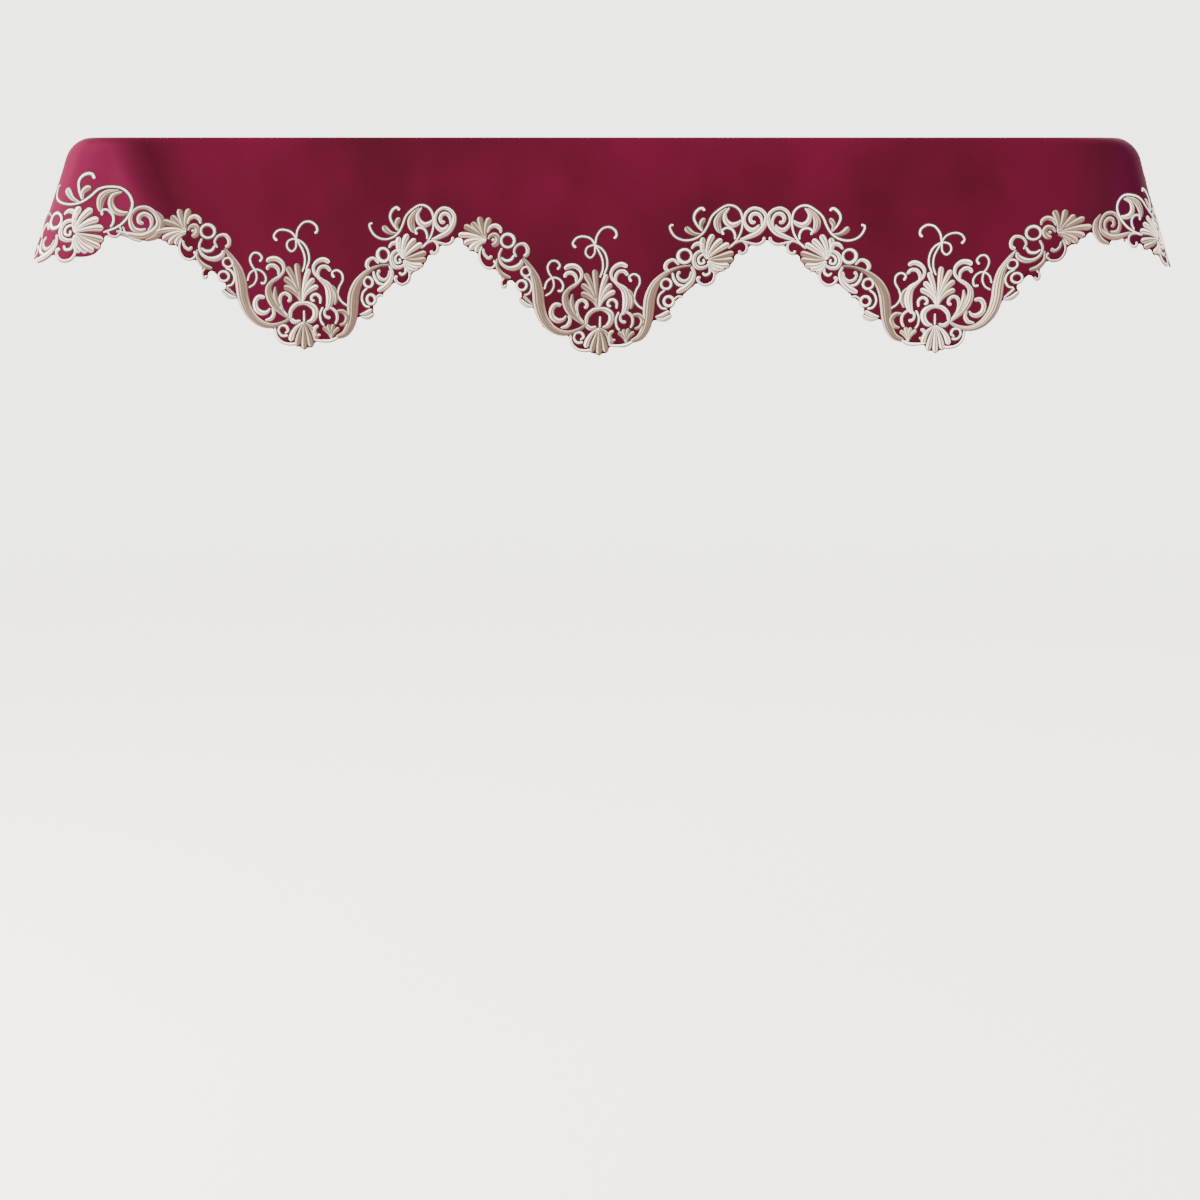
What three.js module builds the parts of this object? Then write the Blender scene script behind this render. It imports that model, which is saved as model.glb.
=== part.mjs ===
// A mantel scarf laid over a plain mantel shelf board. The scarf is one piece of satin with a lobed,
// embroidered edge: it lies flat on the board, falls over the front in three pointed lobes, and
// swings out in a rounded fold at each front corner. Millimetres, +Z up, the board along X, its
// front towards -Y. The origin is the middle of the board's underside.
//
// The cloth is worked out flat first, as it would be cut, and then draped. Flat, it is spread out in
// the plane of the board's top, so a flat point is (x, y) with the same axes. Where it passes the
// line on which it starts to bend, it rolls over a round edge and then hangs along a straight ray.

import * as THREE from 'three';

const board = { length: 1220, depth: 254, thick: 38, cornerRadius: 30, edgeRadius: 6 };
board.cornerSegments = 8;
board.edgeSegments = 4;
const cloth = { thick: 1.2, raised: 0.8, aboveBoard: 0.3, clearOfEdge: 2, bend: 5.6, backInset: 1 };

// The bend line: straight along the front and the ends, with a quarter circle round each corner.
const corner = { x: board.length / 2 - board.cornerRadius, y: board.depth / 2 - board.cornerRadius };
corner.reach = board.cornerRadius + cloth.clearOfEdge + cloth.thick / 2 - cloth.bend;
const sheetHeight = board.thick + cloth.aboveBoard + cloth.thick / 2;
const backEdge = board.depth / 2 - cloth.backInset;

// How the cloth hangs, in degrees away from straight down: fore is towards the front, out is away
// from the middle of the board. bend is the radius over which it turns down.
// Along the front, at is x.
const frontFolds = [
  { at: -580, fore: 5, out: 0, bend: 16 },
  { at: -562, fore: 4, out: 0, bend: 12 },
  { at: -540, fore: 2, out: 0, bend: 8 },
  { at: -518, fore: 0.6, out: 0, bend: 6 },
  { at: -496, fore: 0.5, out: 0, bend: 5.6 },
  { at: -470, fore: 1.8, out: 0, bend: 5.6 },
  { at: -362, fore: 3.2, out: 0, bend: 5.6 },
  { at: -255, fore: 1.5, out: 0, bend: 5.6 },
  { at: -182, fore: 1.0, out: 0, bend: 5.6 },
  { at: -92, fore: 2.4, out: 0, bend: 5.6 },
  { at: -8, fore: 1.5, out: 0, bend: 5.6 },
  { at: 104, fore: 2.8, out: 0, bend: 5.6 },
  { at: 196, fore: 1.0, out: 0, bend: 5.6 },
  { at: 292, fore: 1.7, out: 0, bend: 5.6 },
  { at: 398, fore: 3.2, out: 0, bend: 5.6 },
  { at: 486, fore: 1.5, out: 0, bend: 5.6 },
  { at: 522, fore: 0.8, out: 0, bend: 6 },
  { at: 546, fore: 1.6, out: 0, bend: 8 },
  { at: 565, fore: 3.2, out: 0, bend: 12 },
  { at: 580, fore: 4.6, out: 0, bend: 16 },
];
// Round a front corner, at is the angle from the front (0) to the end (90).
const leftFolds = [
  { at: 0, fore: 5, out: 0, bend: 16 },
  { at: 10, fore: 7, out: 7, bend: 20 },
  { at: 22, fore: 8, out: 16.5, bend: 27 },
  { at: 32, fore: 3, out: 21.5, bend: 34 },
  { at: 44, fore: -8, out: 22, bend: 34 },
  { at: 57, fore: -19, out: 18, bend: 30 },
  { at: 69, fore: -25, out: 11, bend: 25 },
  { at: 79, fore: -22, out: 5, bend: 20 },
  { at: 90, fore: -14, out: 2, bend: 14 },
];
const rightFolds = [
  { at: 0, fore: 4.6, out: 0, bend: 16 },
  { at: 10, fore: 7.6, out: 6.5, bend: 20 },
  { at: 21, fore: 10, out: 13.5, bend: 27 },
  { at: 32, fore: 5, out: 18.5, bend: 35 },
  { at: 44, fore: -6, out: 19, bend: 35 },
  { at: 57, fore: -18, out: 16, bend: 31 },
  { at: 69, fore: -25, out: 9, bend: 25 },
  { at: 79, fore: -22, out: 4, bend: 20 },
  { at: 90, fore: -13, out: 2, bend: 14 },
];
// Along an end, at is y.
const endFolds = [
  { at: -97, fore: -14, out: 2, bend: 14 },
  { at: -58, fore: -9, out: 3.5, bend: 9 },
  { at: -8, fore: -4, out: 6.5, bend: 7 },
  { at: 48, fore: -1, out: 2.5, bend: 5.6 },
  { at: 96, fore: 0, out: 4.5, bend: 5.6 },
  { at: 126, fore: 0, out: 3, bend: 5.6 },
];

// The three front lobes: x of the tip and of the notches either side. turned marks the mirrored one.
const lobes = [
  { left: -531, tip: -354, right: -174, turned: false },
  { left: -174, tip: -6, right: 194, turned: false },
  { left: 194, tip: 394, right: 579, turned: true },
];
const lobe = { notch: 118, tip: 252, fixed: 70, nearHalf: 167, farHalf: 199 };

// The line that one half of a lobe follows, between its embroidered bumps: across is the share of
// the way from tip to notch, fall the share of the way down from notch to tip.
const lobeLine = [
  { across: 0, fall: 0.92 },
  { across: 0.14, fall: 0.9 },
  { across: 0.3, fall: 0.8 },
  { across: 0.42, fall: 0.66 },
  { across: 0.6, fall: 0.43 },
  { across: 0.78, fall: 0.21 },
  { across: 0.9, fall: 0.07 },
  { across: 1, fall: 0 },
];

// Where the edge of the front is drawn up a little, because the cloth was not laid quite straight.
const hitches = [
  { at: -580, up: 0 },
  { at: -531, up: 3 },
  { at: -500, up: 9 },
  { at: -466, up: 11 },
  { at: -354, up: 7 },
  { at: -250, up: 1.2 },
  { at: -174, up: 0 },
  { at: -6, up: 0 },
  { at: 194, up: 0 },
  { at: 300, up: 0 },
  { at: 394, up: 3 },
  { at: 470, up: 8 },
  { at: 515, up: 9 },
  { at: 545, up: 7 },
  { at: 580, up: 0 },
];

// The round bumps where embroidered motifs stand at the cut edge: along is measured from the lobe's
// tip, drop from the bend line down to the bump's middle.
const lobeBumps = [
  { motif: 'notch fan', along: -146, drop: 124, radius: 13 },
  { motif: 'fan loop', along: -130, drop: 143, radius: 12 },
  { motif: 'curl', along: -110, drop: 172, radius: 5.5 },
  { motif: 'ring', along: -90, drop: 177, radius: 11 },
  { motif: 'leaf', along: -87, drop: 196, radius: 5.5 },
  { motif: 'band', along: -68, drop: 203, radius: 15 },
  { motif: 'band', along: -50, drop: 219, radius: 14 },
  { motif: 'ring', along: -23, drop: 237, radius: 9.5 },
  { motif: 'shell petal', along: -14.5, drop: 246, radius: 6.5 },
  { motif: 'shell petal', along: -7, drop: 250, radius: 6.5 },
  { motif: 'shell petal', along: 1, drop: 251.5, radius: 6.5 },
  { motif: 'shell petal', along: 9, drop: 250, radius: 6.5 },
  { motif: 'shell petal', along: 17, drop: 245, radius: 6.5 },
  { motif: 'small fan', along: 33, drop: 236.5, radius: 10.5 },
  { motif: 'band', along: 50, drop: 231, radius: 12 },
  { motif: 'band', along: 64, drop: 218, radius: 12 },
  { motif: 'leaf', along: 78, drop: 207, radius: 6 },
  { motif: 'ring', along: 84, drop: 190, radius: 12 },
  { motif: 'leaf', along: 100, drop: 174, radius: 10 },
  { motif: 'fan loop', along: 127, drop: 165, radius: 12.5 },
  { motif: 'fan petal', along: 145, drop: 153, radius: 9.5 },
  { motif: 'fan petal', along: 157, drop: 141, radius: 8.5 },
  { motif: 'hook', along: 170, drop: 130, radius: 8 },
  { motif: 'scroll', along: 184, drop: 122, radius: 8.5 },
];

// The corner lobes, in the same way: at is the angle round the corner, reach is measured from the
// bend line.
const cornerLine = {
  left: [
    { at: 0, reach: 120 },
    { at: 3, reach: 134 },
    { at: 6, reach: 150 },
    { at: 11, reach: 158 },
    { at: 18, reach: 162 },
    { at: 30, reach: 168 },
    { at: 45, reach: 166 },
    { at: 60, reach: 167 },
    { at: 76, reach: 147 },
    { at: 90, reach: 134 },
  ],
  right: [
    { at: 0, reach: 118 },
    { at: 7, reach: 127 },
    { at: 16, reach: 140 },
    { at: 24, reach: 148 },
    { at: 34, reach: 172 },
    { at: 46, reach: 178 },
    { at: 60, reach: 161 },
    { at: 76, reach: 144 },
    { at: 90, reach: 134 },
  ],
};
const cornerBumps = {
  left: [
    { motif: 'fan petal', at: 5, reach: 139, radius: 9 },
    { motif: 'fan petal', at: 9.5, reach: 151, radius: 9 },
    { motif: 'fan petal', at: 14, reach: 154, radius: 9 },
    { motif: 'fan loop', at: 19, reach: 154, radius: 11 },
    { motif: 'ring', at: 25, reach: 161, radius: 11 },
    { motif: 'leaf', at: 34, reach: 166, radius: 8 },
    { motif: 'fan loop', at: 43, reach: 158, radius: 13 },
    { motif: 'fan petal', at: 52, reach: 158, radius: 10 },
    { motif: 'ring', at: 60, reach: 165, radius: 11 },
    { motif: 'leaf', at: 68, reach: 159, radius: 9 },
    { motif: 'scroll', at: 79, reach: 139, radius: 12 },
  ],
  right: [
    { motif: 'volute', at: 4.5, reach: 119, radius: 12 },
    { motif: 'scroll', at: 11, reach: 130, radius: 9 },
    { motif: 'fan petal', at: 17, reach: 138, radius: 9 },
    { motif: 'fan loop', at: 23.5, reach: 141, radius: 13 },
    { motif: 'fan petal', at: 30.5, reach: 165, radius: 10 },
    { motif: 'leaf', at: 37.5, reach: 174, radius: 9 },
    { motif: 'fan loop', at: 45, reach: 173, radius: 13 },
    { motif: 'fan petal', at: 54, reach: 164, radius: 10 },
    { motif: 'ring', at: 64, reach: 153, radius: 11 },
    { motif: 'scroll', at: 76, reach: 140, radius: 12 },
  ],
};
const endLine = [
  { at: -97, reach: 134 },
  { at: -60, reach: 113 },
  { at: -12, reach: 118 },
  { at: 50, reach: 123 },
  { at: 100, reach: 119 },
  { at: 126, reach: 115 },
];
const endBumps = [
  { motif: 'fan', at: -80, reach: 118, radius: 13 },
  { motif: 'volute', at: -58, reach: 105, radius: 10 },
  { motif: 'fan', at: -30, reach: 109, radius: 12 },
  { motif: 'ring', at: -4, reach: 112, radius: 11 },
  { motif: 'band', at: 20, reach: 115, radius: 12 },
  { motif: 'shell petal', at: 42, reach: 120, radius: 8 },
  { motif: 'shell petal', at: 54, reach: 121, radius: 8 },
  { motif: 'shell petal', at: 66, reach: 120, radius: 8 },
  { motif: 'band', at: 88, reach: 115, radius: 12 },
  { motif: 'ring', at: 112, reach: 110, radius: 11 },
];

// How far the raised, embroidered border comes up from the cut edge, and where it is full height.
const border = { deepest: 92, shallowest: 42, rise: 10 };

// Steps round the bend line, and where the rows lie: as shares of the bend, of the plain part that
// hangs below it, and of the border.
const steps = { front: 118, corner: 17, end: 13, finer: 3, back: 14 };
const rowShares = { bend: [0, 1 / 3, 2 / 3, 1], plain: 0.85, border: 0.6 };

const degrees = Math.PI / 180;

function lerp(a, b, share) {
  return a + (b - a) * share;
}

// A smooth curve through a table's rows, for one of its columns.
function through(rows, key, place, column) {
  const last = rows.length - 1;
  let i = 0;
  while (i < last - 1 && rows[i + 1][key] < place) i += 1;
  const [a, b] = [rows[i], rows[i + 1]];
  const [before, after] = [rows[Math.max(0, i - 1)], rows[Math.min(last, i + 2)]];
  const span = b[key] - a[key];
  const t = Math.min(1, Math.max(0, (place - a[key]) / span));
  const slopeA = ((b[column] - before[column]) / (b[key] - before[key])) * span;
  const slopeB = ((after[column] - a[column]) / (after[key] - a[key])) * span;
  const [t2, t3] = [t * t, t * t * t];
  return (2 * t3 - 3 * t2 + 1) * a[column] + (t3 - 2 * t2 + t) * slopeA
    + (3 * t2 - 2 * t3) * b[column] + (t3 - t2) * slopeB;
}

function foldAt(rows, place) {
  const fold = {};
  for (const column of ['fore', 'out', 'bend']) fold[column] = through(rows, 'at', place, column);
  return fold;
}

// Where a flat point is measured from: the nearest point of the bend line, the way out from it, how
// far out it is, and how the cloth hangs there.
function station(x, y) {
  const side = x < 0 ? -1 : 1;
  const pastEnd = Math.abs(x) - corner.x;
  const pastFront = -y - corner.y;
  if (pastEnd > 0 && pastFront > 0) {
    const turn = Math.atan2(pastEnd, pastFront);
    const out = new THREE.Vector3(side * Math.sin(turn), -Math.cos(turn), 0);
    const start = new THREE.Vector3(side * corner.x, -corner.y, 0).addScaledVector(out, corner.reach);
    const folds = side < 0 ? leftFolds : rightFolds;
    const reach = Math.hypot(pastEnd, pastFront) - corner.reach;
    return { start, out, side, reach, fold: foldAt(folds, turn / degrees) };
  }
  if (pastFront > pastEnd) {
    const start = new THREE.Vector3(x, -corner.y - corner.reach, 0);
    const reach = pastFront - corner.reach;
    return { start, out: new THREE.Vector3(0, -1, 0), side, reach, fold: foldAt(frontFolds, x) };
  }
  const start = new THREE.Vector3(side * (corner.x + corner.reach), y, 0);
  const reach = pastEnd - corner.reach;
  return { start, out: new THREE.Vector3(side, 0, 0), side, reach, fold: foldAt(endFolds, y) };
}

// The way the cloth hangs, from its lean towards the front and away from the middle.
function hangingRay(fold, side) {
  const lean = Math.hypot(fold.out, fold.fore) * degrees;
  const level = new THREE.Vector3(side * fold.out, -fold.fore, 0).normalize();
  return level.multiplyScalar(Math.sin(lean)).add(new THREE.Vector3(0, 0, -Math.cos(lean)));
}

// The length of cloth that lies in the bend.
function bendLength(place) {
  return place.fold.bend * place.out.angleTo(hangingRay(place.fold, place.side));
}

// The middle of the sheet, for a flat point.
function drape(x, y) {
  const place = station(x, y);
  if (place.reach <= 0) return new THREE.Vector3(x, y, sheetHeight);
  const ray = hangingRay(place.fold, place.side);
  const whole = place.out.angleTo(ray);
  const turn = Math.min(whole, place.reach / place.fold.bend);
  const inward = ray.clone().addScaledVector(place.out, -Math.cos(whole)).divideScalar(Math.sin(whole));
  const point = place.start.clone().setZ(sheetHeight);
  point.addScaledVector(place.out, place.fold.bend * Math.sin(turn));
  point.addScaledVector(inward, place.fold.bend * (1 - Math.cos(turn)));
  const beyond = place.reach - turn * place.fold.bend;
  return point.addScaledVector(ray, beyond);
}

// The sheet's outward side, for a flat point.
function facing(x, y) {
  const gap = cloth.thick / 3;
  const along = drape(x + gap, y).sub(drape(x - gap, y));
  const up = drape(x, y + gap).sub(drape(x, y - gap));
  return along.cross(up).normalize();
}

// A lobe's own measure for a point of the front: the middle of the pattern keeps its size, and the
// rest is eased to the lobe's width.
function alongLobe(row, x) {
  const away = x - row.tip;
  const isNear = (away < 0) !== row.turned;
  const half = away < 0 ? row.tip - row.left : row.right - row.tip;
  const patternHalf = isNear ? lobe.nearHalf : lobe.farHalf;
  const size = Math.abs(away);
  const eased = lobe.fixed + (size - lobe.fixed) * ((patternHalf - lobe.fixed) / (half - lobe.fixed));
  const along = size < lobe.fixed ? size : eased;
  return { along: isNear ? -along : along, share: size / half };
}

// How far the edge reaches through a round bump, for a bump whose middle is off to one side.
function bumpReach(aside, middle, radius) {
  return Math.abs(aside) < radius ? middle + Math.sqrt(radius * radius - aside * aside) : 0;
}

function frontReach(x) {
  const row = lobes.find((each) => x >= each.left && x <= each.right);
  if (!row) return lobe.notch;
  const { along, share } = alongLobe(row, x);
  const fall = through(lobeLine, 'across', share, 'fall');
  const bumps = lobeBumps.map((bump) => bumpReach(along - bump.along, bump.drop, bump.radius));
  return Math.max(lerp(lobe.notch, lobe.tip, fall), ...bumps) - through(hitches, 'at', x, 'up');
}

function cornerReach(side, at) {
  const name = side < 0 ? 'left' : 'right';
  const line = through(cornerLine[name], 'at', at, 'reach');
  const bumps = cornerBumps[name].map((bump) => {
    const swing = (at - bump.at) * degrees;
    const middle = corner.reach + bump.reach;
    return bumpReach(middle * Math.sin(swing), middle * Math.cos(swing), bump.radius) - corner.reach;
  });
  return Math.max(line, ...bumps);
}

function endReach(y) {
  const bumps = endBumps.map((bump) => bumpReach(y - bump.at, bump.reach, bump.radius));
  return Math.max(through(endLine, 'at', y, 'reach'), ...bumps);
}

// The steps round the bend line, from the back of the left end to the back of the right end: each
// has its place on the line, the way out, and how far the cloth reaches there.
function outlineSteps() {
  const list = [];
  const [ends, corners, front] = [steps.end, steps.corner, steps.front].map((n) => n * steps.finer);
  const addEnd = (side, share) => {
    const y = lerp(backEdge, -corner.y, share);
    list.push({ x: side * (corner.x + corner.reach), y, outX: side, outY: 0, reach: endReach(y) });
  };
  const addCorner = (side, at) => {
    const [outX, outY] = [side * Math.sin(at * degrees), -Math.cos(at * degrees)];
    const [x, y] = [side * corner.x + outX * corner.reach, -corner.y + outY * corner.reach];
    list.push({ x, y, outX, outY, reach: cornerReach(side, at) });
  };
  for (let i = 0; i < ends; i += 1) addEnd(-1, i / ends);
  for (let i = 0; i < corners; i += 1) addCorner(-1, lerp(90, 0, i / corners));
  for (let i = 0; i < front; i += 1) {
    const x = lerp(-corner.x, corner.x, i / front);
    list.push({ x, y: -corner.y - corner.reach, outX: 0, outY: -1, reach: frontReach(x) });
  }
  for (let i = 0; i < corners; i += 1) addCorner(1, lerp(0, 90, i / corners));
  for (let i = 0; i <= ends; i += 1) addEnd(1, 1 - i / ends);
  return list;
}

// The sheet as flat points and triangles, each point with its height of raised embroidery. Rows run
// along the bend line. The two rows nearest the cut edge take every step, the others every third.
function flatSheet() {
  const fine = outlineSteps();
  const coarse = fine.filter((_, i) => i % steps.finer === 0);
  const points = [];
  const triangles = [];
  const addRow = (list, reachOf, raised) => list.map((step) => {
    const reach = reachOf(step);
    points.push({ x: step.x + step.outX * reach, y: step.y + step.outY * reach, raised });
    return points.length - 1;
  });
  const bendOf = (step) => bendLength(station(step.x + step.outX, step.y + step.outY));
  const bordered = (step) => {
    const share = (step.reach - lobe.notch) / (lobe.tip - lobe.notch);
    return step.reach - lerp(border.shallowest, border.deepest, Math.min(1, Math.max(0, share)));
  };
  const risen = (step) => bordered(step) + border.rise;
  const rows = rowShares.bend.map((share) => addRow(coarse, (step) => share * bendOf(step), 0));
  rows.push(addRow(coarse, (step) => lerp(bendOf(step), bordered(step), rowShares.plain), 0));
  rows.push(addRow(coarse, risen, cloth.raised));
  for (let r = 1; r < rows.length; r += 1) {
    for (let i = 1; i < coarse.length; i += 1) {
      const [a, b, c, d] = [rows[r - 1][i - 1], rows[r - 1][i], rows[r][i - 1], rows[r][i]];
      triangles.push([a, c, d], [a, d, b]);
    }
  }
  const inner = rows[rows.length - 1];
  const nearReach = (step) => lerp(risen(step), step.reach, rowShares.border);
  const near = addRow(fine, nearReach, cloth.raised);
  const edge = addRow(fine, (step) => step.reach, cloth.raised);
  for (let i = 1; i < coarse.length; i += 1) {
    const first = (i - 1) * steps.finer;
    const half = Math.floor(steps.finer / 2);
    for (let k = 0; k < steps.finer; k += 1) {
      const apex = k < half ? inner[i - 1] : inner[i];
      triangles.push([apex, near[first + k], near[first + k + 1]]);
    }
    triangles.push([inner[i - 1], near[first + half], inner[i]]);
  }
  for (let i = 1; i < fine.length; i += 1) {
    triangles.push([near[i - 1], edge[i - 1], edge[i]], [near[i - 1], edge[i], near[i]]);
  }
  const back = [];
  for (let i = 0; i <= steps.back; i += 1) {
    back.push(points.length);
    points.push({ x: lerp(-corner.x, corner.x, i / steps.back), y: backEdge, raised: 0 });
  }
  triangles.push(...zip(points, rows[0], back));
  const sides = [...rows, near, edge];
  const [first, last] = [sides.map((row) => row[0]), sides.map((row) => row[row.length - 1])];
  const loop = [...edge, ...last.reverse().slice(1), ...back.reverse(), ...first.slice(0, -1)];
  return { points, triangles, loop };
}

// Triangles between two rows of points that both run towards +X.
function zip(points, near, far) {
  const triangles = [];
  let [i, k] = [0, 0];
  while (i < near.length - 1 || k < far.length - 1) {
    const nextNear = i < near.length - 1 ? points[near[i + 1]].x : Infinity;
    const nextFar = k < far.length - 1 ? points[far[k + 1]].x : Infinity;
    if (nextNear <= nextFar) {
      triangles.push([near[i], near[i + 1], far[k]]);
      i += 1;
    } else {
      triangles.push([near[i], far[k + 1], far[k]]);
      k += 1;
    }
  }
  return triangles;
}

// A closed body from points and triangles.
function body(name, corners, triangles, material) {
  const geometry = new THREE.BufferGeometry();
  const places = corners.flatMap((point) => [point.x, point.y, point.z]);
  geometry.setAttribute('position', new THREE.Float32BufferAttribute(places, 3));
  geometry.setIndex(triangles.flat());
  geometry.computeVertexNormals();
  const mesh = new THREE.Mesh(geometry, material);
  mesh.name = name;
  return mesh;
}

// The scarf: the draped sheet's outer and inner side, joined along its whole edge.
function scarf() {
  const { points, triangles, loop } = flatSheet();
  const count = points.length;
  const outer = [];
  const inner = [];
  for (const point of points) {
    const middle = drape(point.x, point.y);
    const side = facing(point.x, point.y);
    outer.push(middle.clone().addScaledVector(side, cloth.thick / 2 + point.raised));
    inner.push(middle.clone().addScaledVector(side, -cloth.thick / 2));
  }
  const faces = triangles.map(([a, b, c]) => {
    const turn = (points[b].x - points[a].x) * (points[c].y - points[a].y)
      - (points[b].y - points[a].y) * (points[c].x - points[a].x);
    return turn > 0 ? [a, b, c] : [a, c, b];
  });
  const under = faces.map(([a, b, c]) => [a + count, c + count, b + count]);
  const rim = loop.flatMap((a, i) => {
    const b = loop[(i + 1) % loop.length];
    return [[a, a + count, b + count], [a, b + count, b]];
  });
  const satin = new THREE.MeshStandardMaterial({ color: 0x7a1832, roughness: 0.5, metalness: 0 });
  return body('scarf', [...outer, ...inner], [...faces, ...under, ...rim], satin);
}

// The shelf board: square at the back, rounded at the two front corners, all its edges eased.
function shelfBoard() {
  const ease = board.edgeRadius;
  const [halfLength, halfDepth] = [board.length / 2 - ease, board.depth / 2 - ease];
  const radius = board.cornerRadius - ease;
  const outline = new THREE.Shape();
  outline.moveTo(-halfLength, halfDepth);
  outline.lineTo(-halfLength, -halfDepth + radius);
  outline.absarc(-halfLength + radius, -halfDepth + radius, radius, Math.PI, 1.5 * Math.PI, false);
  outline.absarc(halfLength - radius, -halfDepth + radius, radius, 1.5 * Math.PI, 2 * Math.PI, false);
  outline.lineTo(halfLength, halfDepth);
  const geometry = new THREE.ExtrudeGeometry(outline, {
    depth: board.thick - 2 * ease,
    bevelSize: ease,
    bevelThickness: ease,
    bevelSegments: board.edgeSegments,
    curveSegments: board.cornerSegments,
  });
  geometry.translate(0, 0, ease);
  const paint = new THREE.MeshStandardMaterial({ color: 0xf1efea, roughness: 0.45, metalness: 0 });
  const mesh = new THREE.Mesh(geometry, paint);
  mesh.name = 'shelf_board';
  return mesh;
}

const mantelScarf = new THREE.Group();
mantelScarf.add(shelfBoard(), scarf());

export default mantelScarf;
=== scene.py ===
# %% [markdown]
# # A mantel scarf with a scrolled, stitched border
# The object is a long burgundy satin cloth laid over a mantel shelf board. It hangs in three
# pointed lobes along the front, swings out in a round fold at each front corner, and its whole
# cut edge carries a satin stitch border in ivory and tan thread. The plain white board is part of
# the model, because it is what gives the cloth its shape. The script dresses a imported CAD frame:
# the board keeps its CAD mesh and gets its paint, and a finer cloth stands for the CAD cloth.

# %% Load the frame
import math

import bmesh
import bpy
import numpy as np
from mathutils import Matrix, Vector, geometry


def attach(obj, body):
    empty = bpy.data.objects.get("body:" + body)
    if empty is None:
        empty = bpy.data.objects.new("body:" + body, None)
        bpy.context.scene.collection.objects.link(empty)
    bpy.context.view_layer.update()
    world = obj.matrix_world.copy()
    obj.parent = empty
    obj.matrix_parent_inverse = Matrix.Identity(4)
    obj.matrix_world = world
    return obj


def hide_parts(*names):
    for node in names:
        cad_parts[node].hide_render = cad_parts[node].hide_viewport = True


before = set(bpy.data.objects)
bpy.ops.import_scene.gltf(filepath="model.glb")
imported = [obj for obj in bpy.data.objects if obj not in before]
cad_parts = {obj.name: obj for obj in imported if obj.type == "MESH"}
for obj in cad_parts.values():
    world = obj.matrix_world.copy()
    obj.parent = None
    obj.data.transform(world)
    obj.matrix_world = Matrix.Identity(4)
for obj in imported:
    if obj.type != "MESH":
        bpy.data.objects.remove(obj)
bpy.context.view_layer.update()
print("Nodes:", sorted(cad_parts))

# %% [markdown]
# ## Sizes, and how the cloth hangs
# Everything soft here starts flat. A flat point is (x, y) in millimetres, in the plane of the
# board's top, with the same axes as the model, as if the cloth were spread out stiff round the
# board. The `drape` function then bends it down over the edge. The real cloth isn't simulated: a
# few tables say how far each stretch leans out and forward, so it falls the same way every time.

# %% The board's and the cloth's sizes
MM = 0.001
BOARD = {"length": 1220, "depth": 254, "thick": 38, "corner": 30}
CLOTH = {"thick": 1.2, "above_board": 0.3, "clear_of_edge": 2, "bend": 5.6, "back_inset": 1}
corner_x = BOARD["length"] / 2 - BOARD["corner"]
corner_y = BOARD["depth"] / 2 - BOARD["corner"]
bend_start = BOARD["corner"] + CLOTH["clear_of_edge"] + CLOTH["thick"] / 2 - CLOTH["bend"]
sheet_height = BOARD["thick"] + CLOTH["above_board"] + CLOTH["thick"] / 2
back_edge = BOARD["depth"] / 2 - CLOTH["back_inset"]


def columns(names, rows):
    """A short table as one array for each named column."""
    return {name: np.array([row[i] for row in rows], float) for i, name in enumerate(names)}


FOLD_COLUMNS = ("at", "fore", "out", "bend")
front_folds = columns(FOLD_COLUMNS, [
    (-580, 5.0, 0, 16), (-562, 4.0, 0, 12), (-540, 2.0, 0, 8), (-518, 0.6, 0, 6),
    (-496, 0.5, 0, 5.6), (-470, 1.8, 0, 5.6), (-362, 3.2, 0, 5.6),
    (-255, 1.5, 0, 5.6), (-182, 1.0, 0, 5.6), (-92, 2.4, 0, 5.6), (-8, 1.5, 0, 5.6),
    (104, 2.8, 0, 5.6), (196, 1.0, 0, 5.6), (292, 1.7, 0, 5.6), (398, 3.2, 0, 5.6),
    (486, 1.5, 0, 5.6), (522, 0.8, 0, 6), (546, 1.6, 0, 8), (565, 3.2, 0, 12), (580, 4.6, 0, 16),
])
left_folds = columns(FOLD_COLUMNS, [
    (0, 5.0, 0, 16), (10, 7, 7, 20), (22, 8, 16.5, 27), (32, 3, 21.5, 34), (44, -8, 22, 34),
    (57, -19, 18, 30), (69, -25, 11, 25), (79, -22, 5, 20), (90, -14, 2, 14),
])
right_folds = columns(FOLD_COLUMNS, [
    (0, 4.6, 0, 16), (10, 7.6, 6.5, 20), (21, 10, 13.5, 27), (32, 5, 18.5, 35), (44, -6, 19, 35),
    (57, -18, 16, 31), (69, -25, 9, 25), (79, -22, 4, 20), (90, -13, 2, 14),
])
end_folds = columns(FOLD_COLUMNS, [
    (-97, -14, 2, 14), (-58, -9, 3.5, 9), (-8, -4, 6.5, 7), (48, -1, 2.5, 5.6),
    (96, 0, 4.5, 5.6), (126, 0, 3, 5.6),
])
print("Board, mm:", BOARD["length"], "by", BOARD["depth"], "by", BOARD["thick"])


# %% Laying a flat point over the board
def through(rows, place, column):
    """A smooth curve through a table's rows, for one of its columns."""
    keys, values = rows["at"], rows[column]
    last = len(keys) - 1
    i = np.clip(np.searchsorted(keys, place, side="left") - 1, 0, last - 1)
    before, after = np.maximum(i - 1, 0), np.minimum(i + 2, last)
    span = keys[i + 1] - keys[i]
    t = np.clip((place - keys[i]) / span, 0, 1)
    slope_a = (values[i + 1] - values[before]) / (keys[i + 1] - keys[before]) * span
    slope_b = (values[after] - values[i]) / (keys[after] - keys[i]) * span
    return ((2 * t**3 - 3 * t**2 + 1) * values[i] + (t**3 - 2 * t**2 + t) * slope_a
            + (3 * t**2 - 2 * t**3) * values[i + 1] + (t**3 - t**2) * slope_b)


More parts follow.
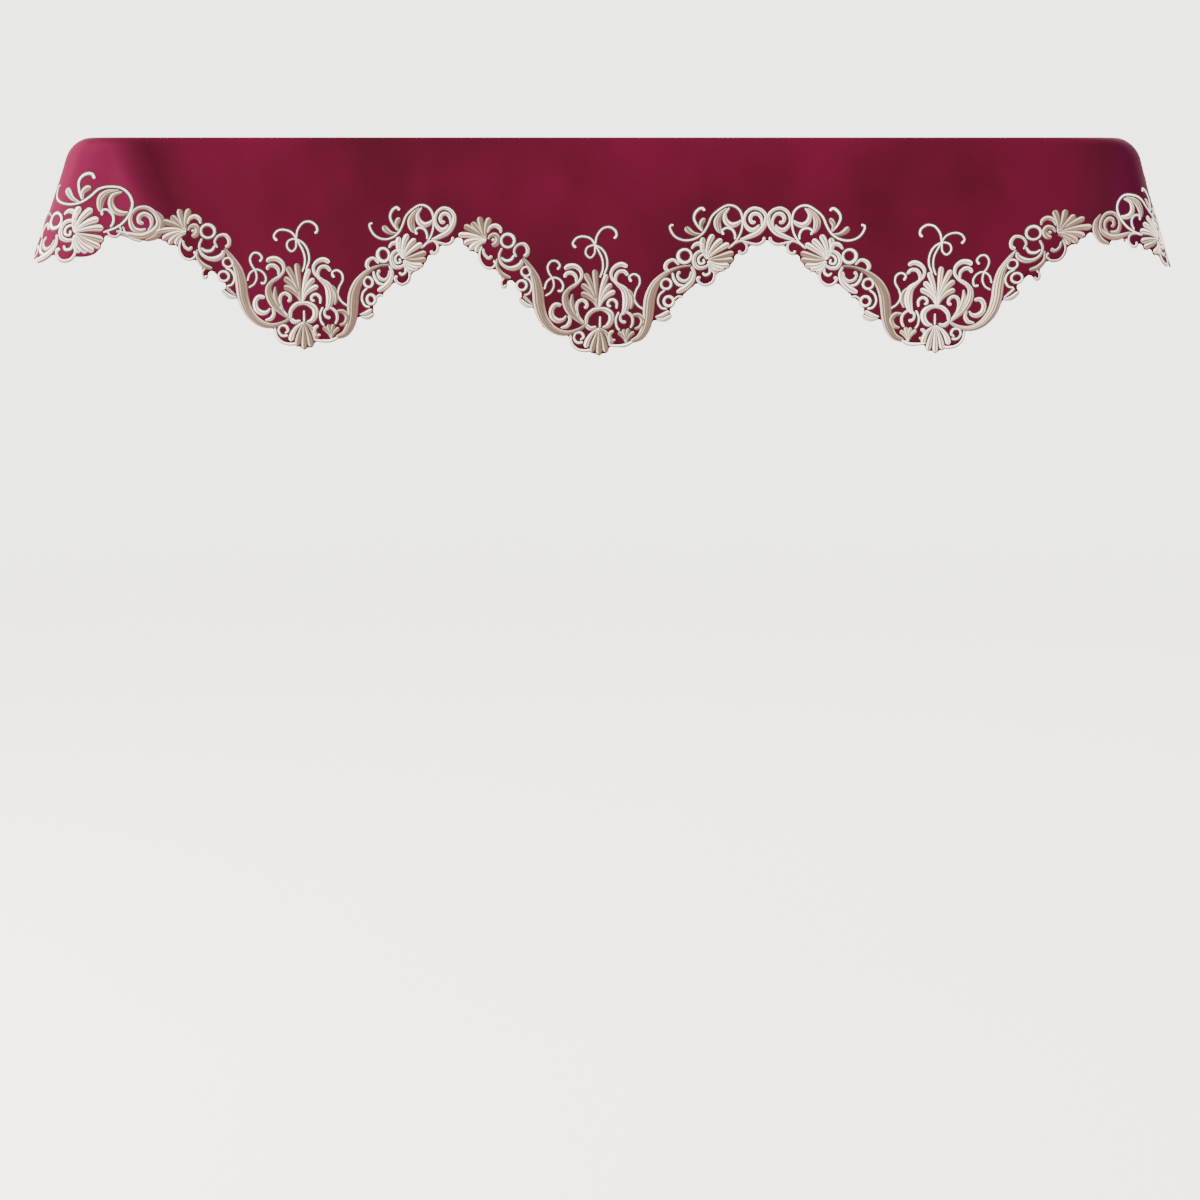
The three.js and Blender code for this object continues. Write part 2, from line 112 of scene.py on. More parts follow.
def stations(x, y):
    """For flat points: where the bend line is nearest, the way out, and how far out they are."""
    side = np.where(x < 0, -1.0, 1.0)
    past_end, past_front = np.abs(x) - corner_x, -y - corner_y
    on_corner = (past_end > 0) & (past_front > 0)
    on_front = ~on_corner & (past_front > past_end)
    turn = np.where(on_corner, np.arctan2(past_end, past_front), np.where(on_front, 0, np.pi / 2))
    out = np.stack([side * np.sin(turn), -np.cos(turn)], axis=-1)
    beyond = np.where(on_corner, np.hypot(past_end, past_front), np.maximum(past_end, past_front))
    at = np.where(on_corner, np.degrees(turn), np.where(on_front, x, y))
    fold = {}
    for name in ("fore", "out", "bend"):
        left, right = through(left_folds, at, name), through(right_folds, at, name)
        round_corner = np.where(side < 0, left, right)
        along = np.where(on_front, through(front_folds, at, name), through(end_folds, at, name))
        fold[name] = np.where(on_corner, round_corner, along)
    return {"side": side, "out": out, "reach": beyond - bend_start, "at": at, "fold": fold,
            "on_corner": on_corner, "on_front": on_front}


def drape(x, y):
    """The middle of the hanging sheet, for flat points."""
    place = stations(x, y)
    fold, out = place["fold"], np.concatenate([place["out"], np.zeros((len(x), 1))], axis=1)
    lean = np.radians(np.hypot(fold["out"], fold["fore"]))
    level = np.stack([place["side"] * fold["out"], -fold["fore"], np.zeros(len(x))], axis=-1)
    level /= np.maximum(np.linalg.norm(level, axis=1), 1e-9)[:, None]
    ray = level * np.sin(lean)[:, None]
    ray[:, 2] = -np.cos(lean)
    whole = np.arccos(np.clip((out * ray).sum(axis=1), -1, 1))
    reach = np.maximum(place["reach"], 0)
    turn = np.minimum(whole, reach / fold["bend"])
    inward = (ray - out * np.cos(whole)[:, None]) / np.sin(whole)[:, None]
    flat = np.stack([x, y, np.full(len(x), sheet_height)], axis=-1)
    start = flat - out * reach[:, None]
    bent = out * (fold["bend"] * np.sin(turn))[:, None]
    bent += inward * (fold["bend"] * (1 - np.cos(turn)))[:, None]
    return start + bent + ray * (reach - turn * fold["bend"])[:, None]


# The sheet's tilt is read from points this many millimetres to each side.
TILT_GAP = 0.4


def facing(x, y):
    """The sheet's outward side, for flat points."""
    along = drape(x + TILT_GAP, y) - drape(x - TILT_GAP, y)
    up = drape(x, y + TILT_GAP) - drape(x, y - TILT_GAP)
    normal = np.cross(along, up)
    return normal / np.linalg.norm(normal, axis=1)[:, None]


flat_x, flat_y = np.array([0.0]), np.array([-330.0])
print("The flat point (0, -330) hangs at", drape(flat_x, flat_y)[0].round(1), "mm")

# %% Soft creases
# Each row is one soft swelling of the cloth: its middle (x, and the drop below the bend), how it
# is turned, its length, its width, and how far it stands out.
soft_creases = columns(("x", "drop", "turn", "length", "width", "height"), [
    (-560, 56, 62, 62, 17, 2.0), (-526, 58, 60, 62, 16, -3.0), (-486, 40, 80, 50, 22, 1.2),
    (-455, 95, 60, 60, 22, -1.4), (-400, 55, 95, 60, 26, 1.5),
    (-335, 100, 75, 70, 24, -1.6), (-292, 45, 100, 50, 20, 1.7), (-232, 75, 70, 55, 22, -1.3),
    (-210, 40, 85, 45, 14, 1.4), (-150, 70, 110, 60, 24, 1.5), (-95, 80, 85, 60, 26, -1.5),
    (-40, 35, 92, 40, 12, 1.4), (15, 95, 60, 60, 22, 1.3), (62, 55, 105, 60, 24, -1.4),
    (110, 42, 88, 45, 13, 1.5), (165, 60, 75, 50, 20, 1.4), (225, 70, 95, 60, 24, -1.4),
    (290, 50, 70, 55, 20, 1.6), (350, 90, 100, 70, 26, -1.5), (405, 50, 85, 50, 22, 1.5),
    (466, 46, 62, 20, 6, -1.1), (478, 84, 70, 55, 20, -1.4), (520, 50, 95, 55, 18, 1.5),
    (571, 60, 92, 70, 12, -1.6),
])
# They start this far below the bend, and are full after this much more.
CREASE_FADE = {"start": 10, "over": 45}


def creased(x, y):
    """How far the soft creases lift the cloth off its plain drape."""
    drop = np.maximum(stations(x, y)["reach"], 0)
    lift = np.zeros(len(x))
    for i in range(len(soft_creases["x"])):
        turn = math.radians(soft_creases["turn"][i])
        dx, dy = x - soft_creases["x"][i], drop - soft_creases["drop"][i]
        along = (dx * math.cos(turn) + dy * math.sin(turn)) / soft_creases["length"][i]
        across = (dy * math.cos(turn) - dx * math.sin(turn)) / soft_creases["width"][i]
        lift += soft_creases["height"][i] * np.exp(-along**2 - across**2)
    return lift * np.clip((drop - CREASE_FADE["start"]) / CREASE_FADE["over"], 0, 1)


def surface(x, y, height):
    """Points of the draped cloth, standing `height` out from the middle of the sheet, in metres."""
    offset = height + creased(x, y)
    return (drape(x, y) + facing(x, y) * offset[:, None]) * MM


print("Soft creases:", len(soft_creases["x"]))

# %% [markdown]
# ## The cut edge
# The edge falls in three pointed lobes on the front, goes on round the two corners, and runs nearly
# level along the ends. These tables give the line that the edge keeps to between its embroidered
# bumps. The embroidery itself then decides the exact cut, as it does on the real cloth.

# %% The lobes
# Each lobe's tip and the notches beside it, along the front. The turned one is stitched mirrored.
LOBES = [
    {"left": -531, "tip": -354, "right": -174, "turned": False},
    {"left": -174, "tip": -6, "right": 194, "turned": False},
    {"left": 194, "tip": 394, "right": 579, "turned": True},
]
# How far the notches and the tips are below the bend. Within the fixed half-width the pattern keeps
# its size, and on to the near and the far notch it is eased to fit.
LOBE = {"notch": 118, "tip": 252, "fixed": 70, "near_half": 167, "far_half": 199}
lobe_line = columns(("at", "fall"), [
    (0, 0.92), (0.14, 0.9), (0.3, 0.8), (0.42, 0.66), (0.6, 0.43), (0.78, 0.21), (0.9, 0.07),
    (1, 0),
])
left_line = columns(("at", "reach"), [
    (0, 120), (3, 134), (6, 150), (11, 158), (18, 162), (30, 168), (45, 166), (60, 167),
    (76, 147), (90, 134),
])
right_line = columns(("at", "reach"), [
    (0, 118), (7, 127), (16, 140), (24, 148), (34, 172), (46, 178), (60, 161), (76, 144), (90, 134),
])
end_line = columns(("at", "reach"), [
    (-97, 134), (-60, 113), (-12, 118), (50, 123), (100, 119), (126, 115),
])


# The scarf wasn't laid quite square, so part of its edge is drawn up. Along the front, by how much,
# and how far the stitched pattern leans there.
hitches = columns(("at", "up", "lean"), [
    (-580, 0, 0), (-531, 3, 0), (-500, 9, 0), (-466, 11, 4), (-354, 7, 9), (-250, 1.2, 6),
    (-174, 0, 0), (-6, 0, 0), (194, 0, 0), (300, 0, 0), (394, 3, 5), (470, 8, 6), (515, 9, 2),
    (545, 7, 0), (580, 4, 0),
])


def line_reach(place, x):
    """How far the edge line is from the bend, for stations that `stations` gave."""
    front = np.full(len(x), float(LOBE["notch"]))
    for row in LOBES:
        inside = (x >= row["left"]) & (x <= row["right"])
        half = np.where(x < row["tip"], row["tip"] - row["left"], row["right"] - row["tip"])
        fall = through(lobe_line, np.abs(x - row["tip"]) / half, "fall")
        front = np.where(inside, LOBE["notch"] + (LOBE["tip"] - LOBE["notch"]) * fall, front)
    front -= through(hitches, x, "up")
    at = place["at"]
    left, right = through(left_line, at, "reach"), through(right_line, at, "reach")
    ends = through(end_line, at, "reach")
    round_corner = np.where(place["side"] < 0, left, right)
    return np.where(place["on_corner"], round_corner, np.where(place["on_front"], front, ends))


print("Lobes:", len(LOBES), "and their tips are", LOBE["tip"], "mm below the bend")

# %% [markdown]
# ## The embroidery, charted
# The border is satin stitch: round rings, hooked tendrils, C-scrolls, fans of petals and long
# striped bands, the common vocabulary of scrolled borders. It is charted as a stitcher would do
# it, on squares of 1.18 mm, counted sideways from the lobe's tip and down from the bend. A stroke
# is a few places with the half-width there, and a smooth curve runs through them. Curves suit
# stitched scrolls better than a picture would: they stay sharp and carry real thickness.

# %% The centre of a lobe
SQUARE = 1.18
CHART_TOP = 3
IVORY, TAN = "ivory", "tan"

# Each stroke is a thread, the number of ridges along it, and its places: side, down, half-width.
centre_strokes = [
    (IVORY, 1, [(2.3, 139, 1), (5, 131, 1), (4.6, 121, 1), (-1, 109.4, 1), (-7, 100.5, 1),
                (-15, 98.2, 1.1), (-21.5, 100, 1.1), (-25, 105.6, 1.1), (-22, 109.4, 1.8)]),
    (IVORY, 1, [(6.1, 137, 1.1), (9.4, 128, 1.1), (8.6, 118, 1.1), (4, 110.5, 1.1), (-4, 107, 1),
                (-10.6, 109.4, 1), (-12, 115.2, 1), (-7.7, 119.4, 1), (-3.4, 115.6, 1),
                (-2.6, 107, 1), (-0.6, 97.5, 1.1), (5.4, 90.2, 1.1), (12.4, 89, 1.2),
                (18, 93, 1.2), (18.6, 98, 1.4), (16.2, 100.3, 1.9)]),
    (IVORY, 1, [(-11.6, 186, 1.6), (-10.6, 178.4, 2.2), (-4.6, 172, 2.4), (3, 170.2, 1.8)]),
    (IVORY, 2, [(-1, 170.4, 1.2), (7, 171, 2.6), (13, 175.5, 3.2), (13.4, 182, 3.2),
                (9.6, 187.6, 2.6), (4.6, 189, 1)]),
    (IVORY, 1, [(2.3, 177.6, 1), (2.1, 188.6, 1.2)]),
    (IVORY, 1, [(-12, 186.4, 2), (-7.4, 189.8, 2.4), (-1.4, 188.2, 1.3)]),
    (IVORY, 1, [(-14.4, 184, 1.2), (-19.2, 178.3, 1.5), (-21.3, 170.7, 1.7), (-20, 164, 1.9),
                (-15.8, 161.6, 1.9), (-11.6, 164, 1.8), (-11, 168, 1.8), (-13.8, 169.6, 2)]),
    (IVORY, 1, [(18.8, 170, 1.2), (18.8, 164, 1.7), (15, 161, 1.9), (10.8, 163.2, 1.8),
                (10.4, 166.8, 1.6), (13.2, 167.8, 1.8)]),
    (TAN, 3, [(-13.5, 186, 1.2), (-21, 180, 2.6), (-28, 172.6, 4), (-32, 164, 4),
              (-32.4, 156.4, 3), (-28, 150, 2), (-20.7, 145, 1.6)]),
    (IVORY, 1, [(-28.6, 150.8, 1.6), (-20.7, 145, 1.6), (-16.2, 138.5, 1.7), (-17.4, 131.8, 2.1),
                (-23, 127.8, 2.7), (-29.4, 128.2, 2.9), (-33.4, 131, 2.5)]),
    (IVORY, 1, [(-21.4, 144.4, 1.2), (-22, 138, 1.8), (-26.4, 134.4, 2.2), (-31.4, 135.4, 2.1),
                (-33.4, 139, 1.9)]),
    (TAN, 2, [(-16.6, 181.4, 0.8), (-23, 173, 2.6), (-26, 164, 2.5), (-25.6, 155.4, 0.8)]),
    (IVORY, 3, [(24.8, 176.6, 1.4), (28, 169, 3.8), (29, 160, 4.6), (26.6, 151.6, 3.8),
                (20, 145.8, 1.9), (14.6, 140.5, 1.5)]),
    (IVORY, 1, [(20, 145.8, 1.3), (14.6, 140.5, 1.5), (13.6, 134, 1.8), (17.6, 128.4, 2.4),
                (24, 126, 2.7), (29.6, 128.4, 2.1)]),
    (TAN, 2, [(27.7, 149.6, 0.9), (33.2, 155, 2.1), (35.2, 162, 2.3), (33, 170.4, 1)]),
    (IVORY, 1, [(18.4, 145.4, 1.2), (17.8, 139, 1.8), (21, 133.6, 2), (26.7, 133.2, 2),
                (30.3, 137, 1.6)]),
    (IVORY, 1, [(-52.4, 157.3, 1), (-47, 153.6, 1), (-44.2, 147.7, 1), (-45, 141, 1),
                (-49, 134.3, 1), (-50.2, 128.4, 1.1), (-46.8, 123, 1.1), (-41.4, 122.8, 1.1),
                (-38, 127.2, 1.2), (-40.5, 131.2, 1.8)]),
    (IVORY, 1, [(-53.6, 150.6, 1), (-50.8, 143, 1), (-44.4, 139.1, 1), (-38.3, 141, 1),
                (-34.8, 146.7, 1.1), (-36.4, 152.3, 1.3), (-40.3, 152.3, 1.7)]),
    (IVORY, 1, [(45.8, 170.7, 1), (40.1, 166.8, 1), (36.6, 160.1, 1), (38.2, 152.5, 1),
                (42, 144.8, 1), (41, 138.3, 1.1), (36.2, 135.7, 1.1), (31.7, 138.6, 1.2),
                (33.5, 143.2, 1.8)]),
    (IVORY, 1, [(-36.6, 166.6, 1.9), (-42.6, 166.4, 2.6), (-46.4, 171.6, 2.7), (-45.4, 178.6, 2.9),
                (-40, 182.2, 2.8), (-34.6, 181, 1.9), (-31.6, 177, 0.8)]),
    (IVORY, 1, [(-29.4, 176.6, 0.9), (-28, 182.4, 2), (-31, 187.6, 2.3), (-37.2, 189.4, 1)]),
    (IVORY, 1, [(21.2, 173.4, 1.2), (18.2, 180.2, 1.2), (19, 188, 1.2), (21.6, 191.6, 1.3)]),
    (IVORY, 1, [(28.2, 184, 2), (23.6, 182.4, 1.4), (22.9, 177, 1.3), (28, 173.6, 1.3),
                (34, 177.5, 1.4), (35, 184.5, 1.4), (32.8, 189.5, 1.1)]),
    (TAN, 1, [(34.6, 176.6, 1.3), (41, 176.6, 2.3), (45.2, 181.6, 2.8), (42.6, 188.2, 2.2),
              (37, 190.4, 1.1)]),
    (IVORY, 1, [(16, 192, 1.7), (12, 195.6, 2), (12.8, 201.4, 1.6), (17.6, 201.4, 1.2)]),
    (IVORY, 1, [(11, 206.4, 1.2), (18.4, 207, 1.5), (27.6, 206.2, 1.8), (35, 202.6, 1.4)]),
    (IVORY, 1, [(-27.6, 196.4, 1.2), (-25.8, 205, 1.3), (-20, 210.6, 1.4), (-11.2, 211.8, 1.6),
                (-7.6, 211, 1.6)]),
    (IVORY, 1, [(-15, 203.6, 1.9), (-20.6, 204, 1.5), (-24, 199.6, 1.3), (-22, 194.6, 1.3),
                (-16.6, 194.2, 1.6), (-14.4, 198.6, 1.6), (-17.6, 201.6, 1)]),
    (TAN, 4, [(-75, 119, 0.9), (-68.6, 128, 2.5), (-62.6, 140, 4.5), (-60.2, 153, 5.9),
              (-58.8, 167, 5.8), (-54.4, 180, 5), (-45, 190.4, 3.8), (-34, 194.4, 2.8),
              (-24, 193, 2), (-15, 188.6, 1.5), (-11, 185, 1.2)]),
    (TAN, 4, [(93.5, 127.3, 0.9), (82, 128.8, 1.1), (72, 132.8, 1.9), (64, 138.5, 3.2),
              (57, 146.8, 4.6), (52.4, 158, 5.7), (50.8, 170, 5.8), (50, 180, 5.2),
              (47.4, 190, 4.5), (42, 198.5, 3.4), (33, 203, 1.8)]),
]
print("Strokes at the centre of a lobe:", len(centre_strokes))

# %% Fans at the centre of a lobe
# Each fan is a thread, its root, its petals' half-width, and its petals: the tip and the bow.
centre_fans = [
    (TAN, (0, 169.5), 3.1, [(-17, 155, 3), (-16.4, 146, 3), (-13, 135, 2), (-3, 131, 0)]),
    (IVORY, (1, 169.5), 3.1, [(9.4, 136, -1.5), (14, 145.6, -2.5), (17.4, 153, -3)]),
    (IVORY, (1.6, 189.6), 3.2, [(-12, 209, 3)]),
    (TAN, (1.6, 189.6), 3.2, [(-6, 213.4, 1), (1, 216, 0), (8, 213.4, -1), (13.4, 206.6, -3)]),
    (TAN, (28.5, 204.6), 2.3, [(20.4, 193.4, 1.5), (25.6, 190.4, 0.5), (31.2, 189.8, -0.5),
                               (36.6, 193.4, -1.5)]),
]
print("Fans at the centre of a lobe:", len(centre_fans))

# %% The flank towards the fan notch
left_strokes = [
    (IVORY, 1, [(-110, 94.4, 1.1), (-107.6, 89.4, 2), (-102.2, 87.4, 2.4), (-97.6, 90.2, 2),
                (-96.6, 94.6, 1)]),
    (TAN, 2, [(-109.4, 101, 1), (-107, 97.4, 1.8), (-102.4, 96.6, 2.6), (-99.6, 100.8, 3),
              (-102, 105.8, 3), (-106, 106.6, 1.6)]),
    (IVORY, 1, [(-106, 102, 1.5), (-102.8, 101.4, 2.2)]),
    (IVORY, 1, [(-81.6, 118.4, 1.1), (-83.6, 112.5, 1.2), (-80, 106.8, 1.3), (-73.7, 105.8, 1.8),
                (-70.2, 110.5, 2), (-70.8, 116, 2.1), (-74, 118, 2.3)]),
    (IVORY, 1, [(-95.6, 109.6, 1.2), (-98.4, 117, 1.2), (-96.4, 124.5, 1.4), (-90.4, 129.2, 1.9),
                (-83, 129.6, 2.9), (-77, 126, 2.9), (-75.6, 121, 1.4)]),
    (IVORY, 1, [(-96.5, 119, 0.9), (-92.4, 122, 1.6), (-86.8, 121.4, 1.8), (-83.4, 116.5, 1.3)]),
    (IVORY, 1, [(-115.6, 108, 1.3), (-117.8, 114.5, 1.3), (-117.2, 121.5, 1.3),
                (-112.8, 128, 1.3), (-106, 129.4, 1.4), (-102, 125.5, 1.4), (-103.8, 121.8, 1.8)]),
    (IVORY, 1, [(-114.6, 110, 1.2), (-113, 116, 1.4), (-108.6, 119.8, 1.7), (-105.4, 117.6, 2.3)]),
    (TAN, 2, [(-100.3, 120, 1.1), (-100.2, 128.6, 1.8), (-95, 136, 2.5), (-87, 139.4, 1.5)]),
    (IVORY, 1, [(-93.4, 139.2, 0.9), (-96.2, 144, 1.1), (-94.6, 149, 1.3), (-91.4, 146.6, 2)]),
    (IVORY, 1, [(-74, 138.4, 1.1), (-68.4, 141.8, 1.3), (-66, 148.4, 1.3), (-69, 155, 1.2),
                (-73.6, 156.6, 1)]),
    (IVORY, 2, [(-65, 167.8, 1), (-71.6, 166.4, 2.3), (-78, 160.8, 2)]),
    (TAN, 1, [(-65.4, 166, 0.8), (-70.4, 161.4, 1.7), (-74.4, 157.4, 1.5)]),
]
# Each ring is a thread, its middle, its radius, its half-width, its half-width where it is fullest,
# and the way that its fullest side faces, in degrees.
left_rings = [
    (IVORY, (-89.9, 102.4), 6.5, 1.3, 1.9, 60),
    (IVORY, (-71.8, 133), 4.6, 1.2, 1.3, 0),
    (IVORY, (-76.1, 146.8), 4.8, 1.3, 1.5, 0),
]
left_fans = [
    (TAN, (-111.4, 101.4), 3.4, [(-107.4, 79.6, -2), (-117.6, 78.4, -1), (-125.4, 84, 0),
                                   (-133, 87.6, 1)]),
    (IVORY, (-111.4, 102), 3.4, [(-138.6, 97, 2), (-133, 105.6, 2), (-127, 111.6, 2.5)]),
    (IVORY, (-111.6, 103), 3.1, [(-120.8, 113.4, 2.5)]),
]
print("Strokes, rings and fans:", len(left_strokes), len(left_rings), len(left_fans))

# %% The flank towards the volute notch
right_strokes = [
    (IVORY, 2, [(141.5, 101.4, 1), (150, 98.8, 2.4), (160.4, 93.6, 3), (166.6, 85, 2.7),
                (167.2, 77.4, 2), (161.8, 71.6, 1.8), (154, 70.4, 1.8), (147.6, 75, 1.7),
                (145.6, 82, 1.6), (147.6, 88, 2), (152.8, 92, 2.5), (158, 90.2, 2.2),
                (160.6, 86.6, 1)]),
    (IVORY, 1, [(163, 87.6, 0.8), (163, 80.8, 1.5), (159.4, 76, 2), (154.2, 76.2, 2.2),
                (151.6, 80.4, 2), (153.6, 84.4, 1.9), (157, 83.6, 1.6)]),
    (IVORY, 1, [(143, 102.4, 1), (152, 105, 1.3), (159, 106, 1.5), (164.6, 103, 1.6),
                (166, 98.6, 2)]),
    (IVORY, 1, [(130, 110, 0.9), (137, 104.6, 1.2), (144, 102.8, 1.2), (148.3, 107.4, 1.3),
                (147.2, 113.2, 1.4), (142.8, 115.2, 1.5), (140.3, 112.2, 2.1)]),
    (IVORY, 1, [(132.6, 108.5, 1), (138.2, 102, 1.1), (142.4, 94, 1.1), (144, 84, 1.2),
                (142.2, 74, 1.2), (136.6, 68.5, 1.2), (129, 67.4, 1.2), (121, 71.5, 1.2),
                (113.6, 78.4, 1.2), (109.2, 88, 1.2), (104.6, 95.2, 1.2), (97.6, 100.2, 1.2),
                (87.7, 102.2, 1.1), (78, 99, 1.1), (73, 92.6, 1.1), (72.2, 88, 1.2),
                (75.6, 86.7, 1.5)]),
    (IVORY, 1, [(131, 69.8, 0.9), (126.4, 76.5, 2), (127.8, 83.4, 3), (133, 87, 3.2),
                (139.6, 85.2, 2.3), (142.8, 82, 1)]),
    (TAN, 3, [(128.6, 70, 0.8), (121.8, 76.6, 2.6), (118.9, 84, 4), (120.4, 91, 3.1),
              (122.8, 94.6, 1.2)]),
    (IVORY, 1, [(125.2, 96.4, 1.9), (123.6, 92.8, 1.4), (128, 89.8, 1.4), (133.8, 91.4, 1.4),
                (136.6, 96.8, 1.3), (136.4, 101, 1)]),
    (TAN, 2, [(103.6, 96.2, 0.8), (95.8, 95.5, 2.1), (89.8, 91.7, 3.2), (87.8, 88.6, 2.7)]),
    (TAN, 2, [(104.6, 93, 0.8), (102.6, 87.6, 2.1), (104.8, 82.4, 2.7), (107.2, 80.8, 2)]),
    (IVORY, 1, [(104, 92.8, 1), (98.6, 86.6, 1.2), (95.8, 79.6, 1.3), (98.3, 73.4, 1.6),
                (103.4, 70.2, 1.7), (106.6, 72.6, 1.7)]),
    (IVORY, 1, [(111.4, 114.6, 1), (104.6, 112.6, 1.7), (98, 116, 2.1), (95.8, 123, 2.3),
                (99, 128.9, 2.3), (105.5, 129.4, 1.9), (111.4, 126, 1.2)]),
    (IVORY, 1, [(109.8, 117.8, 0.8), (104.2, 116.5, 1.3), (100.2, 120.8, 1.5),
                (101.7, 125.2, 1.6), (106, 124.4, 1.3), (105, 120.6, 1.5)]),
    (IVORY, 1, [(93.4, 110.6, 1), (97, 106.4, 2.1), (102.4, 105.8, 2.5), (105.8, 109.4, 1)]),
    (IVORY, 1, [(81, 126.3, 1.1), (75.4, 121.6, 1.6), (69.2, 124.5, 2.2), (67.6, 129.6, 2.1),
                (70.8, 133, 1.2)]),
    (IVORY, 1, [(113, 128, 1.2), (116.2, 135.5, 1.3), (114.4, 142.8, 1.4), (107, 146.6, 1.4),
                (101, 143.8, 1.4), (99.6, 140, 1.8), (102.4, 138.9, 2.2)]),
    (IVORY, 1, [(111.5, 130, 1.2), (111.4, 134.4, 1.6), (107.2, 136.8, 1.6), (104.2, 134.4, 1.2)]),
    (IVORY, 2, [(93.4, 128, 1.1), (96, 135, 1.9), (94.2, 142.4, 2.8), (88.8, 148.4, 3.4),
                (82.4, 152.4, 2.9), (78.6, 154, 1.4)]),
    (IVORY, 1, [(82.2, 133, 2.3), (79.7, 136.7, 1.4), (81.7, 141, 1.7), (87, 142.8, 1.8),
                (91.6, 139.5, 1.4), (93.2, 133, 1)]),
    (IVORY, 1, [(74.6, 134.4, 1.2), (76.2, 141, 1.8), (80.6, 146.2, 1.8), (86, 147.2, 1.2)]),
    (IVORY, 1, [(76, 161, 0.9), (80.6, 157.8, 1.1), (84.8, 158.6, 1.2)]),
    (IVORY, 1, [(67, 151.6, 1.2), (61.8, 156.6, 1.2), (60.4, 163.5, 1.2), (63.8, 169.3, 1.3),
                (69, 170.4, 1.3)]),
    (IVORY, 2, [(57.6, 178.6, 0.8), (64.5, 177, 2.5), (71.6, 172.8, 2.3)]),
    (IVORY, 2, [(58.8, 180.4, 0.8), (66, 181, 2), (73.4, 177, 1.8)]),
]
right_rings = [
    (IVORY, (86.8, 117.8), 6.6, 1.4, 2.3, 225),
    (IVORY, (68.4, 145.6), 5, 1.3, 1.5, 0),
    (IVORY, (70.9, 162.8), 4.7, 1.6, 1.8, 0),
]
right_fans = [
    (IVORY, (109, 120.6), 3.4, [(105.6, 99.4, -3), (115.4, 96.4, -2.5), (123.8, 101.2, -2),
                                (130.8, 105.6, -1)]),
    (TAN, (110, 121.4), 3.3, [(135.2, 114.4, 0), (134.8, 121, 1)]),
    (IVORY, (110, 122.4), 3.3, [(130.8, 126.8, 2), (125.6, 130.4, 2.5), (120, 133, 3)]),
]
print("Strokes, rings and fans:", len(right_strokes), len(right_rings), len(right_fans))

# %% Extras at the corners
# Round the centre of a corner volute: a thick crescent beside each, and two hooks under the left.
crescent = (TAN, 3, [(10.5, -10.6, 0.8), (16.2, -3.5, 2.6), (16, 6, 3.4), (10.5, 14.5, 3),
                     (0, 19.5, 1)])
hooks = [
    (IVORY, 1, [(-37, 14.5, 1.6), (-33, 18.5, 1.3), (-27, 18.4, 1.3), (-23.2, 12.1, 1.2),
                (-24.5, 7, 1)]),
    (IVORY, 1, [(-21, 8, 1), (-19, 13.5, 1.2), (-13.2, 18.4, 1.3), (-3.8, 20.4, 1.3)]),
]
print("Extra strokes at the corners:", 1 + len(hooks))

# %% [markdown]
# ## From the chart to smooth strokes
# A satin stitch stroke is a row of stitches side by side, so it has a middle line, a width that
# swells and thins, and round ends. Each charted stroke becomes closely spaced points with a
# half-width. Petals and rings are strokes too, made from fewer numbers.

# %% Smooth strokes
CURVE_STEP, STROKE_STEP = 0.25, 1.0
# A round end gets extra points at these shares of its half-width.
ROUNDING = np.array((0.0, 0.08, 0.3, 0.62))
LEAST_WIDTH = 0.01


def smooth(places):
    """Closely spaced rows of (x, y, half-width) on a smooth curve through the places, in mm."""
    p = np.array(places, float) * SQUARE
    ends = [2 * p[0] - p[1], *p, 2 * p[-1] - p[-2]]
    rows = []
    for i in range(1, len(ends) - 2):
        a, b, c, d = ends[i - 1:i + 3]
        gaps = [max(np.linalg.norm(v[:2]) ** 0.5, 1e-3) for v in (b - a, c - b, d - c)]
        knots = np.cumsum([0] + gaps)
        count = max(2, int(np.linalg.norm((c - b)[:2]) / CURVE_STEP))
        t = np.linspace(knots[1], knots[2], count, endpoint=False)[:, None]

        def mix(low, high, start, end):
            return (low * (end - t) + high * (t - start)) / (end - start)
        ab, bc = mix(a, b, 0, knots[1]), mix(b, c, knots[1], knots[2])
        cd = mix(c, d, knots[2], knots[3])
        abc, bcd = mix(ab, bc, 0, knots[2]), mix(bc, cd, knots[1], knots[3])
        rows.append(mix(abc, bcd, knots[1], knots[2]))
    rows.append(p[-1][None])
    return np.concatenate(rows)


def paced(rows):
    """The same stroke at an even pace, with its ends rounded off."""
    travel = np.concatenate([[0], np.cumsum(np.linalg.norm(np.diff(rows[:, :2], axis=0), axis=1))])
    whole = travel[-1]
    first, last = rows[0, 2], rows[-1, 2]
    inner = np.linspace(first, whole - last, max(3, int((whole - first - last) / STROKE_STEP)))
    at = np.sort(np.concatenate([ROUNDING * first, inner, whole - ROUNDING[::-1] * last]))
    x, y, half = (np.interp(at, travel, rows[:, k]) for k in range(3))
    near_end = np.minimum(np.clip(at / first, 0, 1), np.clip((whole - at) / last, 0, 1))
    half = half * np.sqrt(np.clip(1 - (1 - near_end) ** 2, LEAST_WIDTH, 1))
    return np.stack([x, y, half], axis=-1)


print("Points on the first charted stroke:", len(smooth(centre_strokes[0][2])))

# %% Petals and rings
RING_DEGREES = range(0, 376, 15)
# How wide a petal is at some shares of its length.
PETAL_WIDTHS = ((0, 0.35), (0.35, 0.6), (0.7, 0.92), (0.9, 1.0), (1, 0.92))


def ring_places(middle, radius, half, fullest, toward):
    """A ring whose width swells on one side. It overlaps itself a little where it closes."""
    places = []
    for degrees in RING_DEGREES:
        swell = 0.5 + 0.5 * math.cos(math.radians(degrees - toward))
        angle = math.radians(degrees)
        places.append((middle[0] + radius * math.cos(angle), middle[1] - radius * math.sin(angle),
                       half + (fullest - half) * swell))
    return places


